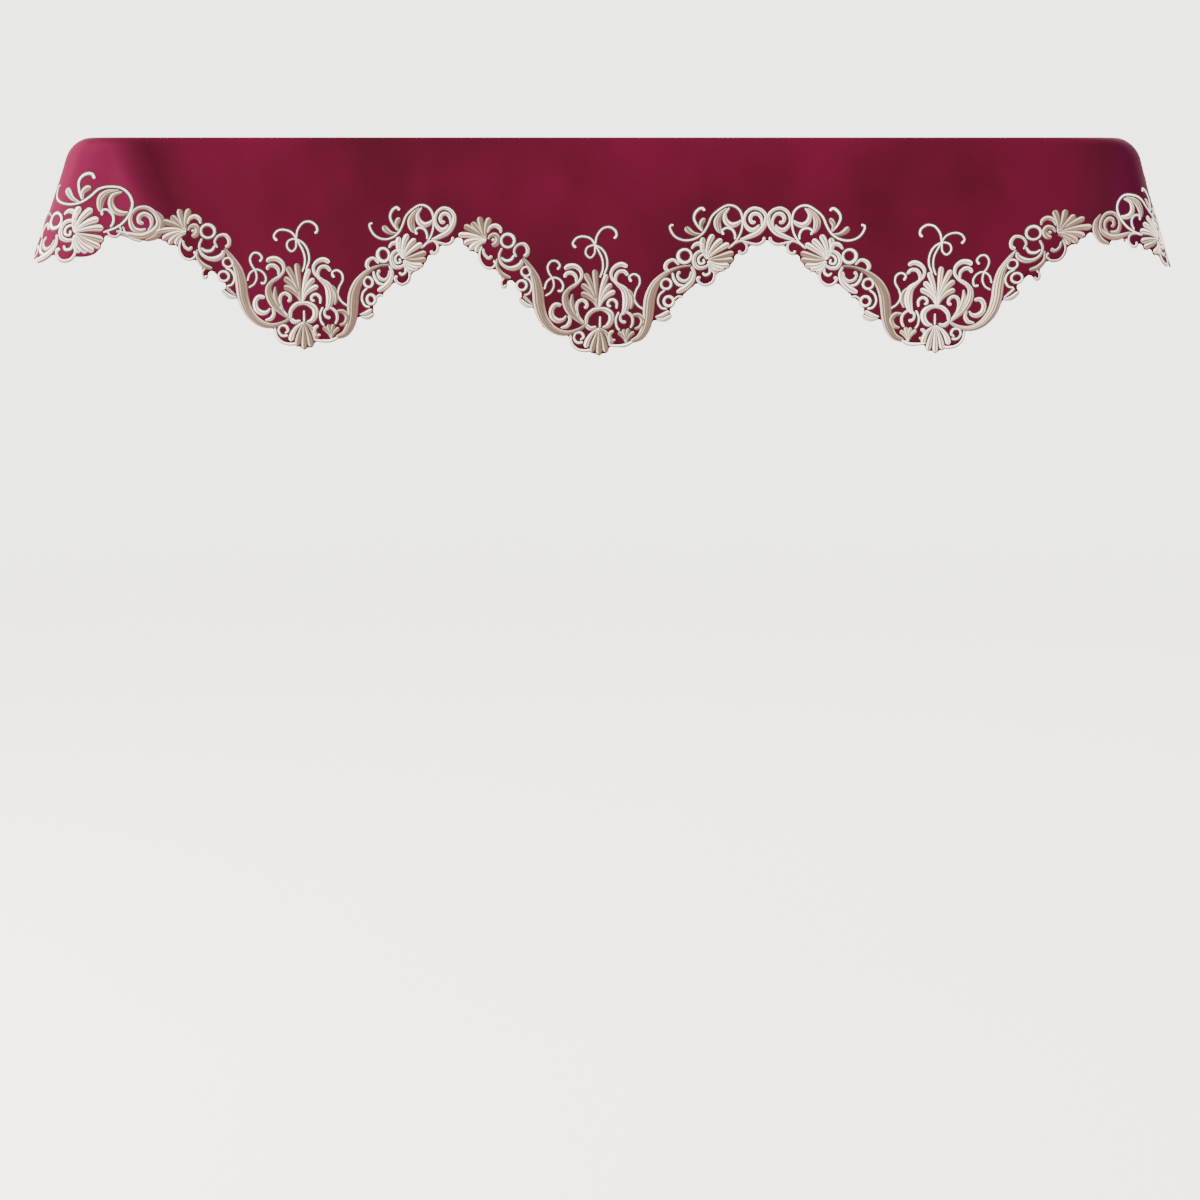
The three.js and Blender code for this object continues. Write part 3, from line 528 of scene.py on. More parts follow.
def petal_places(root, tip, bow, half):
    """A petal: narrow at the root, full near the round tip, bowed to one side."""
    dx, dy = tip[0] - root[0], tip[1] - root[1]
    length = math.hypot(dx, dy)
    places = []
    for share, width in PETAL_WIDTHS:
        aside = bow * 4 * share * (1 - share)
        places.append((root[0] + dx * share - dy / length * aside,
                       root[1] + dy * share + dx / length * aside, half * width))
    return places


# %% The whole chart
# A stroke with a half-width above this many millimetres is worked in two ridges or more.
FULL_STROKE = 2.3


def group(strokes, rings, fans):
    """One part of the chart, as a list of strokes: thread, ridges, rows of (x, y, half-width)."""
    made = []
    for thread, ridges, places in strokes:
        rows = smooth(places)
        is_full = rows[:, 2].max() > FULL_STROKE
        made.append((thread, max(ridges, 2) if is_full else ridges, rows))
    for thread, *ring in rings:
        made.append((thread, 1, smooth(ring_places(*ring))))
    for thread, root, half, petals in fans:
        for x, y, bow in petals:
            made.append((thread, 2, smooth(petal_places(root, (x, y), bow, half))))
    return made


CHART = {
    "centre": group(centre_strokes, [], centre_fans),
    "left": group(left_strokes, left_rings, left_fans),
    "right": group(right_strokes, right_rings, right_fans),
}
CORNER_CHART = {**CHART, "crescent": group([crescent], [], []), "hooks": group(hooks, [], [])}
print("Charted strokes:", {name: len(strokes) for name, strokes in CHART.items()})


# %% Where the chart is stitched
def on_lobe(rows, row):
    """Places a stroke on a front lobe: the middle keeps its size, the rest is eased to fit."""
    along, down = rows[:, 0], rows[:, 1] + CHART_TOP
    is_near = along < 0
    goes_left = is_near != row["turned"]
    half = np.where(goes_left, row["tip"] - row["left"], row["right"] - row["tip"])
    pattern_half = np.where(is_near, LOBE["near_half"], LOBE["far_half"])
    ease = (half - LOBE["fixed"]) / (pattern_half - LOBE["fixed"])
    size = np.abs(along)
    size = np.where(size < LOBE["fixed"], size, LOBE["fixed"] + (size - LOBE["fixed"]) * ease)
    x = row["tip"] + np.where(goes_left, -size, size)
    down = down - through(hitches, x, "up")
    tall = np.clip((LOBE["tip"] - down) / LOBE["tip"], 0, 1)
    lean = through(hitches, x, "lean") * tall * (1 if row["turned"] else -1)
    return np.stack([x + lean, -corner_y - bend_start - down, rows[:, 2]], axis=-1)


def placed(rows, charted, flat, turn, mirror, size):
    """Lays a stroke anywhere on the flat cloth, so that a charted place lands on a flat one."""
    a, flip = math.radians(turn), -1 if mirror else 1
    x = flip * (rows[:, 0] - charted[0] * SQUARE)
    y = charted[1] * SQUARE - rows[:, 1]
    return np.stack([flat[0] + size * (x * math.cos(a) - y * math.sin(a)),
                     flat[1] + size * (x * math.sin(a) + y * math.cos(a)), rows[:, 2] * size],
                    axis=-1)


# %% Every stroke on the flat cloth
VOLUTE, FAN, SHELL, CENTRE = (157, 81), (-112, 102), (1, 216), (0, 0)
# Round the corners and along the ends: which part of the chart, which charted place is laid where,
# how it is turned, whether it is mirrored, and its size.
AROUND = [
    ("right", VOLUTE, (-540, -226), -27, False, 1.2),
    ("right", VOLUTE, (599, -236), 36, True, 1.04),
    ("crescent", CENTRE, (-540, -226), 0, False, 1),
    ("hooks", CENTRE, (-540, -226), 0, False, 1),
    ("crescent", CENTRE, (599, -236), 0, True, 1),
    ("centre", SHELL, (-751, -188), -62, False, 0.62),
    ("centre", SHELL, (745, -184), 62, True, 0.62),
    ("left", FAN, (-706, -68), -62, False, 0.95),
    ("left", FAN, (704, -62), 62, True, 0.95),
    ("right", VOLUTE, (-698, 106), -54, True, 0.9),
    ("right", VOLUTE, (698, 106), 54, False, 0.9),
]
# A stroke that would reach this many millimetres past the edge line is left off.
PAST_EDGE = 9


def within_edge(rows):
    """Whether a stroke stays near the cloth."""
    place = stations(rows[:, 0], rows[:, 1])
    past = place["reach"] + rows[:, 2] - line_reach(place, rows[:, 0])
    return past.max() < PAST_EDGE


STROKES = []
for row in LOBES:
    for strokes in CHART.values():
        STROKES += [(thread, ridges, paced(on_lobe(rows, row))) for thread, ridges, rows in strokes]
for part, charted, flat, turn, mirror, size in AROUND:
    for thread, ridges, rows in CORNER_CHART[part]:
        laid = placed(rows, charted, flat, turn, mirror, size)
        if charted == CENTRE or within_edge(laid):
            STROKES.append((thread, ridges, paced(laid)))
print("Strokes to stitch:", len(STROKES))

# %% [markdown]
# ## The exact cut
# The real edge is cut close round the outside of the stitching, so the cloth's outline is a
# result of the embroidery. A fine grid over the flat cloth finds it: each grid point learns how
# far it is from the nearest stitching, the ground inside the edge line is filled in, and so are
# narrow bays and the holes that the outside can't reach. The outline is then walked along the grid.
# That is steadier than joining hundreds of overlapping outlines one by one.

# %% The grid, and how far each of its points is from the cloth
GRID = {"cell": 1.0, "left": -815, "right": 815, "front": -400, "past_back": 3}
# How far the cut stands off the stitching, how far inside the edge line the plain ground stops, how
# far from a stroke distances are read, and by how many steps a bay is filled.
EDGE = {"margin": -0.25, "inset": 5.0, "reach": 4.0, "bay": 4}
columns_n = int((GRID["right"] - GRID["left"]) / GRID["cell"]) + 1
rows_n = int((back_edge + GRID["past_back"] - GRID["front"]) / GRID["cell"]) + 1
grid_x = GRID["left"] + np.arange(columns_n) * GRID["cell"]
grid_y = GRID["front"] + np.arange(rows_n) * GRID["cell"]


def stitched_distance():
    """For each grid point, the distance to the nearest stitching, less than zero on it."""
    field = np.full((rows_n, columns_n), EDGE["reach"])
    for _, _, rows in STROKES:
        for x, y, half in rows:
            span = half + EDGE["reach"]
            i0, i1 = np.searchsorted(grid_x, (x - span, x + span))
            j0, j1 = np.searchsorted(grid_y, (y - span, y + span))
            dx, dy = grid_x[i0:i1] - x, grid_y[j0:j1, None] - y
            patch = np.sqrt(dx**2 + dy**2) - half
            np.minimum(field[j0:j1, i0:i1], patch, out=field[j0:j1, i0:i1])
    return field


def ground_distance():
    """The same for the plain ground, which stops short of the edge line and at the back edge."""
    xs, ys = np.meshgrid(grid_x, grid_y)
    place = stations(xs.ravel(), ys.ravel())
    past = place["reach"] - line_reach(place, xs.ravel()) + EDGE["inset"]
    return past.reshape(xs.shape), ys - back_edge


stitched = stitched_distance()
ground, past_back = ground_distance()
print("Grid points on stitching:", int((stitched < 0).sum()))


# %% Fill bays and holes
def grown(region, corners=False):
    """The region grown by one grid step: sideways and up and down, and by the corners if asked."""
    wide = region.copy()
    wide[:, 1:] |= region[:, :-1]
    wide[:, :-1] |= region[:, 1:]
    source = wide if corners else region
    tall = wide.copy()
    tall[1:, :] |= source[:-1, :]
    tall[:-1, :] |= source[1:, :]
    return tall


def fill_bays(field):
    """Fills narrow bays: the region is grown and shrunk back, and its new edge is softened."""
    region = field < 0
    for step in range(EDGE["bay"]):
        region = grown(region, step % 2 == 1)
    spare = ~region
    for step in range(EDGE["bay"]):
        spare = grown(spare, step % 2 == 1)
    soft = (~spare).astype(float)
    for axis in (0, 1, 0, 1):
        soft = (np.roll(soft, 1, axis) + 2 * soft + np.roll(soft, -1, axis)) / 4
    return np.minimum(field, (0.5 - soft) * 2 * GRID["cell"])


def fill_holes(field):
    """Fills whatever the outside can't reach."""
    free = field > 0
    outside = np.zeros_like(free)
    outside[0, :] = outside[:, 0] = outside[:, -1] = outside[-1, :] = True
    outside &= free
    while True:
        reached = grown(outside) & free
        if (reached == outside).all():
            break
        outside = reached
    return np.where(free & ~outside, -GRID["cell"], field)


cloth_field = fill_holes(fill_bays(np.minimum(stitched - EDGE["margin"], ground)))
cloth_field = np.maximum(cloth_field, past_back)
print("Flat cloth, square metres:", round(float((cloth_field < 0).sum()) * MM * MM, 4))


# %% Walk the outline
def outline(field):
    """The longest closed line where the field is zero, as points in order round the cloth."""
    links = {}

    def crossing(a, b):
        va, vb = field[a], field[b]
        share = va / (va - vb)
        return (grid_x[a[1]] + (grid_x[b[1]] - grid_x[a[1]]) * share,
                grid_y[a[0]] + (grid_y[b[0]] - grid_y[a[0]]) * share)

    inside = field < 0
    mixed = inside[:-1, :-1].astype(int) + inside[1:, :-1] + inside[:-1, 1:] + inside[1:, 1:]
    for j, i in np.argwhere((mixed > 0) & (mixed < 4)):
        ring = [(j, i), (j, i + 1), (j + 1, i + 1), (j + 1, i)]
        enter, leave = [], []
        for k in range(4):
            a, b = ring[k], ring[(k + 1) % 4]
            if inside[a] != inside[b]:
                (leave if inside[a] else enter).append((tuple(sorted((a, b))), a, b))
        for start, end in zip(leave, enter if len(enter) == 1 else enter[::-1]):
            links[start[0]] = (end[0], crossing(start[1], start[2]))
    loops = []
    while links:
        key = next(iter(links))
        loop = []
        while key in links:
            key, point = links.pop(key)
            loop.append(point)
        loops.append(loop)
    return np.array(max(loops, key=len))


CUT_TOLERANCE, LONGEST_SIDE = 0.12, 7


def thinned(points):
    """Leaves out points that lie on the line between their neighbours."""
    keep = np.zeros(len(points), bool)
    keep[0] = keep[len(points) // 2] = True
    stack = [(0, len(points) // 2), (len(points) // 2, len(points))]
    closed = np.concatenate([points, points[:1]])
    while stack:
        first, last = stack.pop()
        if last - first < 2:
            continue
        start, chord = closed[first], closed[last] - closed[first]
        length = max(np.linalg.norm(chord), 1e-9)
        away = closed[first + 1:last] - start
        offset = np.abs(chord[0] * away[:, 1] - chord[1] * away[:, 0]) / length
        is_bent = offset.max() > CUT_TOLERANCE
        if is_bent or length > LONGEST_SIDE:
            middle = first + 1 + (int(offset.argmax()) if is_bent else (last - first) // 2 - 1)
            keep[middle] = True
            stack += [(first, middle), (middle, last)]
    return points[keep]


cut = thinned(outline(cloth_field))
print("Points on the cut line:", len(cut))

# %% [markdown]
# ## The cloth
# The flat cloth is filled with triangles between the cut line and rows of points that follow the
# bend, close together where it turns over the edge of the board. Then every point is laid over
# the board, and a second layer behind it gives the cloth its thickness.

# %% Points across the flat cloth
REACHES = np.concatenate([np.arange(0, 12, 2.0), np.arange(12, 48, 4.5), np.arange(48, 300, 7.0)])
FRONT_STEP, END_STEP, CORNER_STEP, TOP_STEP = 6.5, 6.5, 3.0, 24.0
ENDS_CLEAR_OF_BACK, TOP_CLEAR_OF_BACK = 3, 10


def inner_points():
    """Rows of points along the bend line, from the bend outwards, and a few across the top."""
    starts = []
    for x in np.arange(-corner_x, corner_x + 1, 2 * corner_x / round(2 * corner_x / FRONT_STEP)):
        starts.append((x, -corner_y - bend_start, 0, -1))
    for side in (-1, 1):
        for angle in np.radians(np.arange(CORNER_STEP, 90, CORNER_STEP)):
            out = (side * math.sin(angle), -math.cos(angle))
            bend_x, bend_y = side * corner_x + bend_start * out[0], -corner_y + bend_start * out[1]
            starts.append((bend_x, bend_y, *out))
        for y in np.arange(-corner_y, back_edge - ENDS_CLEAR_OF_BACK, END_STEP):
            starts.append((side * (corner_x + bend_start), y, side, 0))
    starts = np.array(starts)
    points = (starts[:, None, :2] + starts[:, None, 2:] * REACHES[None, :, None]).reshape(-1, 2)
    top_x = np.arange(-corner_x, corner_x + 1, TOP_STEP)
    top_y = np.arange(-corner_y, back_edge - TOP_CLEAR_OF_BACK, TOP_STEP)
    top = np.stack(np.meshgrid(top_x, top_y), axis=-1).reshape(-1, 2)
    return np.concatenate([points, top])


candidates = inner_points()
print("Points offered for the inside:", len(candidates))

# %% Fill the outline with triangles
MOST_STEPS, CLEAR_OF_CUT = 12, 3


def steps_inside():
    """How many grid steps each grid point is from the outside of the cloth, up to the most."""
    near = cloth_field > 0
    steps = np.zeros(near.shape, int)
    for _ in range(MOST_STEPS):
        near = grown(near)
        steps += ~near
    return steps


depths = steps_inside()


def depth_at(x, y):
    """The same for any flat points, from the nearest grid point."""
    i = np.clip(np.round((x - GRID["left"]) / GRID["cell"]).astype(int), 0, columns_n - 1)
    j = np.clip(np.round((y - GRID["front"]) / GRID["cell"]).astype(int), 0, rows_n - 1)
    return depths[j, i]


# The triangles stay inside the cut line, and points this close together are one point.
TRIANGLES_INSIDE, SAME_POINT = 1, 0.001
is_inside = depth_at(candidates[:, 0], candidates[:, 1]) >= CLEAR_OF_CUT
flat_points = [Vector(point) for point in np.concatenate([cut, candidates[is_inside]])]
cut_edges = [(i, (i + 1) % len(cut)) for i in range(len(cut))]
found = geometry.delaunay_2d_cdt(flat_points, cut_edges, [], TRIANGLES_INSIDE, SAME_POINT)
flat_points = np.array([tuple(v) for v in found[0]])
triangles = np.array([f for f in found[2] if len(f) == 3])
print("Flat cloth:", len(flat_points), "points,", len(triangles), "triangles")


# %% Lay the cloth and give it thickness
def add_object(name, data):
    """An object at the origin, linked into the scene."""
    made = bpy.data.objects.new(name, data)
    bpy.context.scene.collection.objects.link(made)
    return made


a, b, c = (flat_points[triangles[:, k]] for k in range(3))
area2 = (b[:, 0] - a[:, 0]) * (c[:, 1] - a[:, 1]) - (b[:, 1] - a[:, 1]) * (c[:, 0] - a[:, 0])
triangles[area2 < 0] = triangles[area2 < 0][:, ::-1]
half_thick = CLOTH["thick"] / 2
outer = surface(flat_points[:, 0], flat_points[:, 1], half_thick)
inner = surface(flat_points[:, 0], flat_points[:, 1], -half_thick)
count = len(flat_points)
sides = {}
for corners in triangles.tolist():
    for k in range(3):
        pair = (corners[k], corners[(k + 1) % 3])
        if pair[::-1] in sides:
            del sides[pair[::-1]]
        else:
            sides[pair] = True
# A triangle's side that no other triangle shares is on the rim.
rim = [(b, a, a + count, b + count) for a, b in sides]
faces = triangles.tolist() + (triangles[:, ::-1] + count).tolist() + rim
cloth_mesh = bpy.data.meshes.new("scarf_cloth")
cloth_mesh.from_pydata(np.concatenate([outer, inner]).tolist(), [], faces)
cloth_mesh.validate()
cloth_mesh.shade_smooth()
cloth = add_object("scarf_cloth", cloth_mesh)

# %% [markdown]
# ## Satin stitch
# Embroidery is the thread itself, lying in a low dome over the cloth and showing flat on the back.
# Geometry Nodes suit this: each stroke goes in as a line with a half-width at every point, and
# one tree sweeps a domed section along all of them. Its points carry attributes for the materials:
# how far along and across the stroke they are, its number of ridges and its tone, and how its side
# faces the light. A bump alone would be cheaper, but it would vanish from the side.

# %% A helper for building node trees
def wire(tree, kind, *links, **values):
    """Adds a node, fills its inputs by position or name, and returns it."""
    node = tree.nodes.new(kind)
    for name, value in values.items():
        setattr(node, name, value)
    for socket, source in links:
        target = node.inputs[socket]
        if isinstance(source, bpy.types.NodeSocket):
            tree.links.new(source, target)
        else:
            target.default_value = source
    return node.outputs[0] if len(node.outputs) == 1 else node


def maths(tree, operation, a, b=None, c=None, clamp=False):
    """One sum in a node tree."""
    links = [(place, value) for place, value in enumerate((a, b, c)) if value is not None]
    return wire(tree, "ShaderNodeMath", *links, operation=operation, use_clamp=clamp)


FLOAT, COLOR, WHOLE = "NodeSocketFloat", "NodeSocketColor", "NodeSocketInt"
GEOMETRY, MATERIAL = "NodeSocketGeometry", "NodeSocketMaterial"


def new_group(kind, name, inputs, outputs):
    """An empty node group with named inputs and outputs."""
    tree = bpy.data.node_groups.new(name, kind)
    for in_out, sockets in (("INPUT", inputs), ("OUTPUT", outputs)):
        for label, socket_type, value in sockets:
            socket = tree.interface.new_socket(name=label, in_out=in_out, socket_type=socket_type)
            if value is not None:
                socket.default_value = value
    return tree, tree.nodes.new("NodeGroupInput").outputs, tree.nodes.new("NodeGroupOutput").inputs


# %% The satin stitch tree
# Heights in millimetres. A stroke this wide is at its full height, and its dome is a little flat.
WORKED = {"relief": 1.15, "through": 1.5, "ridge_depth": 0.6}
FULL_HEIGHT_WIDTH, DOME_POWER = 2.2, 0.75


def satin_stitch_tree():
    """Sweeps a domed, ridged section along every line of a mesh."""
    tree, given, result = new_group(
        "GeometryNodeTree", "satin_stitch",
        [("Geometry", GEOMETRY, None), ("Section points", WHOLE, None),
         ("Relief", FLOAT, WORKED["relief"]), ("Through", FLOAT, WORKED["through"]),
         ("Ridge depth", FLOAT, WORKED["ridge_depth"]), ("Thread", MATERIAL, None)],
        [("Geometry", GEOMETRY, None)])

    def named(name):
        return wire(tree, "GeometryNodeInputNamedAttribute", ("Name", name),
                    data_type="FLOAT").outputs[0]

    def stored(geometry_in, name, value):
        return wire(tree, "GeometryNodeStoreNamedAttribute", ("Geometry", geometry_in),
                    ("Name", name), ("Value", value), data_type="FLOAT", domain="POINT")

    line = wire(tree, "GeometryNodeMeshToCurve", ("Mesh", given["Geometry"]))
    line = wire(tree, "GeometryNodeSetCurveNormal", ("Curve", line), mode="Z_UP")
    length = wire(tree, "GeometryNodeSplineParameter").outputs["Length"]
    line = stored(line, "along", length)
    arc = wire(tree, "GeometryNodeCurveArc", ("Resolution", given["Section points"]),
               ("Start Angle", 0.0), ("Sweep Angle", math.pi), mode="RADIUS")
    arc = wire(tree, "GeometryNodeSetSplineCyclic", ("Geometry", arc.outputs["Curve"]),
               ("Cyclic", True))
    place = wire(tree, "ShaderNodeSeparateXYZ", ("Vector", wire(tree, "GeometryNodeInputPosition")))
    arc = stored(arc, "across", place.outputs["X"])
    arc = stored(arc, "up", place.outputs["Y"])
    swept = wire(tree, "GeometryNodeCurveToMesh", ("Curve", line), ("Profile Curve", arc),
                 ("Scale", named("half_width")), ("Fill Caps", True))
    # Narrow strokes lie lower. Ridges run along the wide ones, with grooves between.
    width_share = maths(tree, "DIVIDE", named("half_width"), FULL_HEIGHT_WIDTH)
    fullness = maths(tree, "MULTIPLY_ADD", maths(tree, "MINIMUM", width_share, 1.0), 0.5, 0.5)
    dome = maths(tree, "POWER", named("up"), DOME_POWER)
    height = maths(tree, "MULTIPLY", maths(tree, "MULTIPLY", dome, fullness), given["Relief"])
    turns = maths(tree, "MULTIPLY", maths(tree, "ADD", named("across"), 1.0), named("ridges"))
    wave = maths(tree, "COSINE", maths(tree, "MULTIPLY", turns, math.pi))
    groove = maths(tree, "MULTIPLY", maths(tree, "MULTIPLY_ADD", wave, 0.5, 0.5), dome)
    is_ridged = maths(tree, "GREATER_THAN", named("ridges"), 1.5)
    depth = maths(tree, "MULTIPLY", maths(tree, "MULTIPLY", groove, is_ridged),
                  given["Ridge depth"])
    top = maths(tree, "SUBTRACT", height, maths(tree, "MULTIPLY", depth, fullness))
    # The section's flat side goes through to the back of the cloth.
    is_top = maths(tree, "GREATER_THAN", named("up"), 0.001)
    down = maths(tree, "MULTIPLY", given["Through"], -1.0)
    low = maths(tree, "MULTIPLY", maths(tree, "SUBTRACT", 1.0, is_top), down)
    level = maths(tree, "ADD", maths(tree, "MULTIPLY", top, is_top), low)
    spot = wire(tree, "ShaderNodeSeparateXYZ", ("Vector", wire(tree, "GeometryNodeInputPosition")))
    lifted = wire(tree, "ShaderNodeCombineXYZ", ("X", spot.outputs["X"]), ("Y", spot.outputs["Y"]),
                  ("Z", level))
    shaped = wire(tree, "GeometryNodeSetPosition", ("Geometry", swept), ("Position", lifted))
    shaped = wire(tree, "GeometryNodeSetShadeSmooth", ("Geometry", shaped))
    whole = wire(tree, "GeometryNodeRealizeInstances", ("Geometry", shaped))
    finished = wire(tree, "GeometryNodeSetMaterial", ("Geometry", whole),
                    ("Material", given["Thread"]))
    tree.links.new(finished, result["Geometry"])
    return tree


stitch_tree = satin_stitch_tree()
print("Satin stitch tree:", len(stitch_tree.nodes), "nodes")


# %% Painted sheen on the threads, and the side that faces the light
# How much of the darker shade each thread is painted with, from the left corner to the right one:
# painted sheen, for how the satin thread catches the light along the front.
tones = columns(("at", IVORY, TAN), [
    (-700, 0.15, 0.3), (-610, 0.2, 0.4), (-575, 0.55, 0.85), (-430, 0.45, 1), (-354, 0.35, 1),
    (-170, 0.4, 1), (-6, 0.4, 1), (120, 0.35, 0.8), (200, 0.2, 0.5), (300, 0.2, 0.8),
    (335, 0.2, 0.95), (372, 0.15, 0.2), (394, 0.15, 0.15), (450, 0.2, 0.3), (500, 0.35, 0.6),
    (545, 1, 1), (600, 1, 1), (632, 0.25, 0.5), (720, 0.15, 0.4),
])
GOLDEN, CHANCE = 0.618034, 0.25
LIGHT_UP, LIGHT_LEFT = 0.8, 0.6


def tone_of(stroke):
    """One stroke's share of the darker shade, painted for the thread's sheen, with a little chance
    in it.
    """
    thread, _, rows = stroke
    x, y, _ = rows.mean(axis=0)
    chance = (abs(x * 7.3 + y * 3.1) * GOLDEN) % 1 - 0.5
    return float(np.clip(through(tones, np.array([x]), thread)[0] + chance * CHANCE, 0, 1))


def lit_side(rows):
    """How far a stroke's right-hand side faces the light, up and to the left, from -1 to 1, all
    along it.
    """
    way = np.gradient(rows[:, :2], axis=0)
    way /= np.maximum(np.linalg.norm(way, axis=1), 1e-9)[:, None]
    down = stations(rows[:, 0], rows[:, 1])["out"]
    right = np.stack([-down[:, 1], down[:, 0]], axis=-1)
    toward_light = -LIGHT_UP * down - LIGHT_LEFT * right
    return way[:, 1] * toward_light[:, 0] - way[:, 0] * toward_light[:, 1]


print("Places where the threads' tones are given:", len(tones["at"]))


# %% Strokes as lines, and running a tree on them
def stroke_lines(name, strokes):
    """The strokes as lines in the flat plane, in millimetres, with their half-widths."""
    points = np.concatenate([rows for _, _, rows in strokes])
    edges, first = [], 0
    for _, _, rows in strokes:
        edges += [(first + k, first + k + 1) for k in range(len(rows) - 1)]
        first += len(rows)
    mesh = bpy.data.meshes.new(name)
    mesh.from_pydata([(x, y, 0) for x, y in points[:, :2]], edges, [])
    lengths = [len(rows) for _, _, rows in strokes]
    attributes = {
        "half_width": points[:, 2],
        "ridges": np.repeat([ridges for _, ridges, _ in strokes], lengths),
        "tone": np.repeat([tone_of(stroke) for stroke in strokes], lengths),
        "lit_side": np.concatenate([lit_side(rows) for _, _, rows in strokes]),
    }
    for attribute, values in attributes.items():
        layer = mesh.attributes.new(attribute, "FLOAT", "POINT")
        layer.data.foreach_set("value", np.asarray(values, np.float32))
    return mesh


def run_tree(name, mesh, tree, settings):
    """Runs a Geometry Nodes tree on a mesh and returns the plain mesh that comes out."""
    helper = add_object(name + "_helper", mesh)
    modifier = helper.modifiers.new("nodes", "NODES")
    modifier.node_group = tree
    for item in tree.interface.items_tree:
        if item.in_out == "INPUT" and item.name in settings:
            modifier[item.identifier] = settings[item.name]
    depsgraph = bpy.context.evaluated_depsgraph_get()
    plain = bpy.data.meshes.new_from_object(helper.evaluated_get(depsgraph), depsgraph=depsgraph,
                                            preserve_all_data_layers=True)
    plain.name = name
    bpy.data.objects.remove(helper)
    return plain


def laid_on_cloth(mesh, lift):
    """Moves a mesh made in the flat plane, in millimetres, onto the draped cloth, in metres."""
    flat = np.empty(len(mesh.vertices) * 3, np.float32)
    mesh.vertices.foreach_get("co", flat)
    flat = flat.reshape(-1, 3).astype(float)
    placed_points = surface(flat[:, 0], flat[:, 1], flat[:, 2] + lift)
    mesh.vertices.foreach_set("co", placed_points.astype(np.float32).ravel())
    mesh.update()


# %% One piece of embroidery
# How many points the domed section has, for each number of ridges.
SECTIONS = {1: 7, 2: 11, 3: 17, 4: 23}


def embroider(name, strokes, thread, section=None, relief=WORKED["relief"], deep=WORKED["through"]):
    """One piece of embroidery in one thread, from its strokes."""
    parts = []
    for ridges, points in SECTIONS.items():
        chosen = [stroke for stroke in strokes if stroke[1] == ridges]
        if not chosen:
            continue
        mesh = run_tree(name + str(ridges), stroke_lines(name, chosen), stitch_tree,
                        {"Section points": section or points, "Relief": relief, "Through": deep,
                         "Ridge depth": WORKED["ridge_depth"], "Thread": thread})
        laid_on_cloth(mesh, half_thick)
        parts.append(mesh)
    joined = bmesh.new()
    for mesh in parts:
        joined.from_mesh(mesh)
    bmesh.ops.recalc_face_normals(joined, faces=joined.faces)
    joined.to_mesh(parts[0])
    joined.free()
    parts[0].name = name
    print(name, "triangles:", sum(len(face.vertices) - 2 for face in parts[0].polygons))
    return add_object(name, parts[0])

# %% [markdown]
# ## Thread, satin and paint
# Colour comes from nodes, never from a picture. Two effects are shared, so each is a node group:
# `stitched_thread` draws the rows of stitches, with painted shade in the grooves between ridges, on
# the side of a stroke away from the light and along its sides, and `soft_mottle` gives a slow,
# cloudy change of tone. The groups put out only colours and heights; each material keeps its own
# Principled shader.

# %% Shared effects: a cloudy change of tone
def blend(tree, factor, a, b, blend_type="MIX"):
    """A mix of two colours, which a Mix node takes in sockets 6 and 7 and gives out in 2."""
    node = wire(tree, "ShaderNodeMix", (0, factor), (6, a), (7, b), data_type="RGBA",
                blend_type=blend_type)
    return node.outputs[2]


def soft_mottle_group():
    """A soft noise, as a colour between two and as a value."""
    tree, given, result = new_group(
        "ShaderNodeTree", "soft_mottle",
        [("Scale", FLOAT, 6.0), ("Dark", COLOR, (0, 0, 0, 1)), ("Light", COLOR, (1, 1, 1, 1))],
        [("Color", COLOR, None), ("Value", FLOAT, None)])
    place = wire(tree, "ShaderNodeTexCoord").outputs["Object"]
    noise = wire(tree, "ShaderNodeTexNoise", ("Vector", place), ("Scale", given["Scale"]),
                 ("Detail", 3.0), ("Roughness", 0.55))
    value = maths(tree, "MULTIPLY_ADD", noise.outputs[0], 2.2, -0.6, clamp=True)
    tree.links.new(value, result["Value"])
    tree.links.new(blend(tree, value, given["Dark"], given["Light"]), result["Color"])
    return tree


mottle = soft_mottle_group()
print("Soft mottle:", len(mottle.nodes), "nodes")


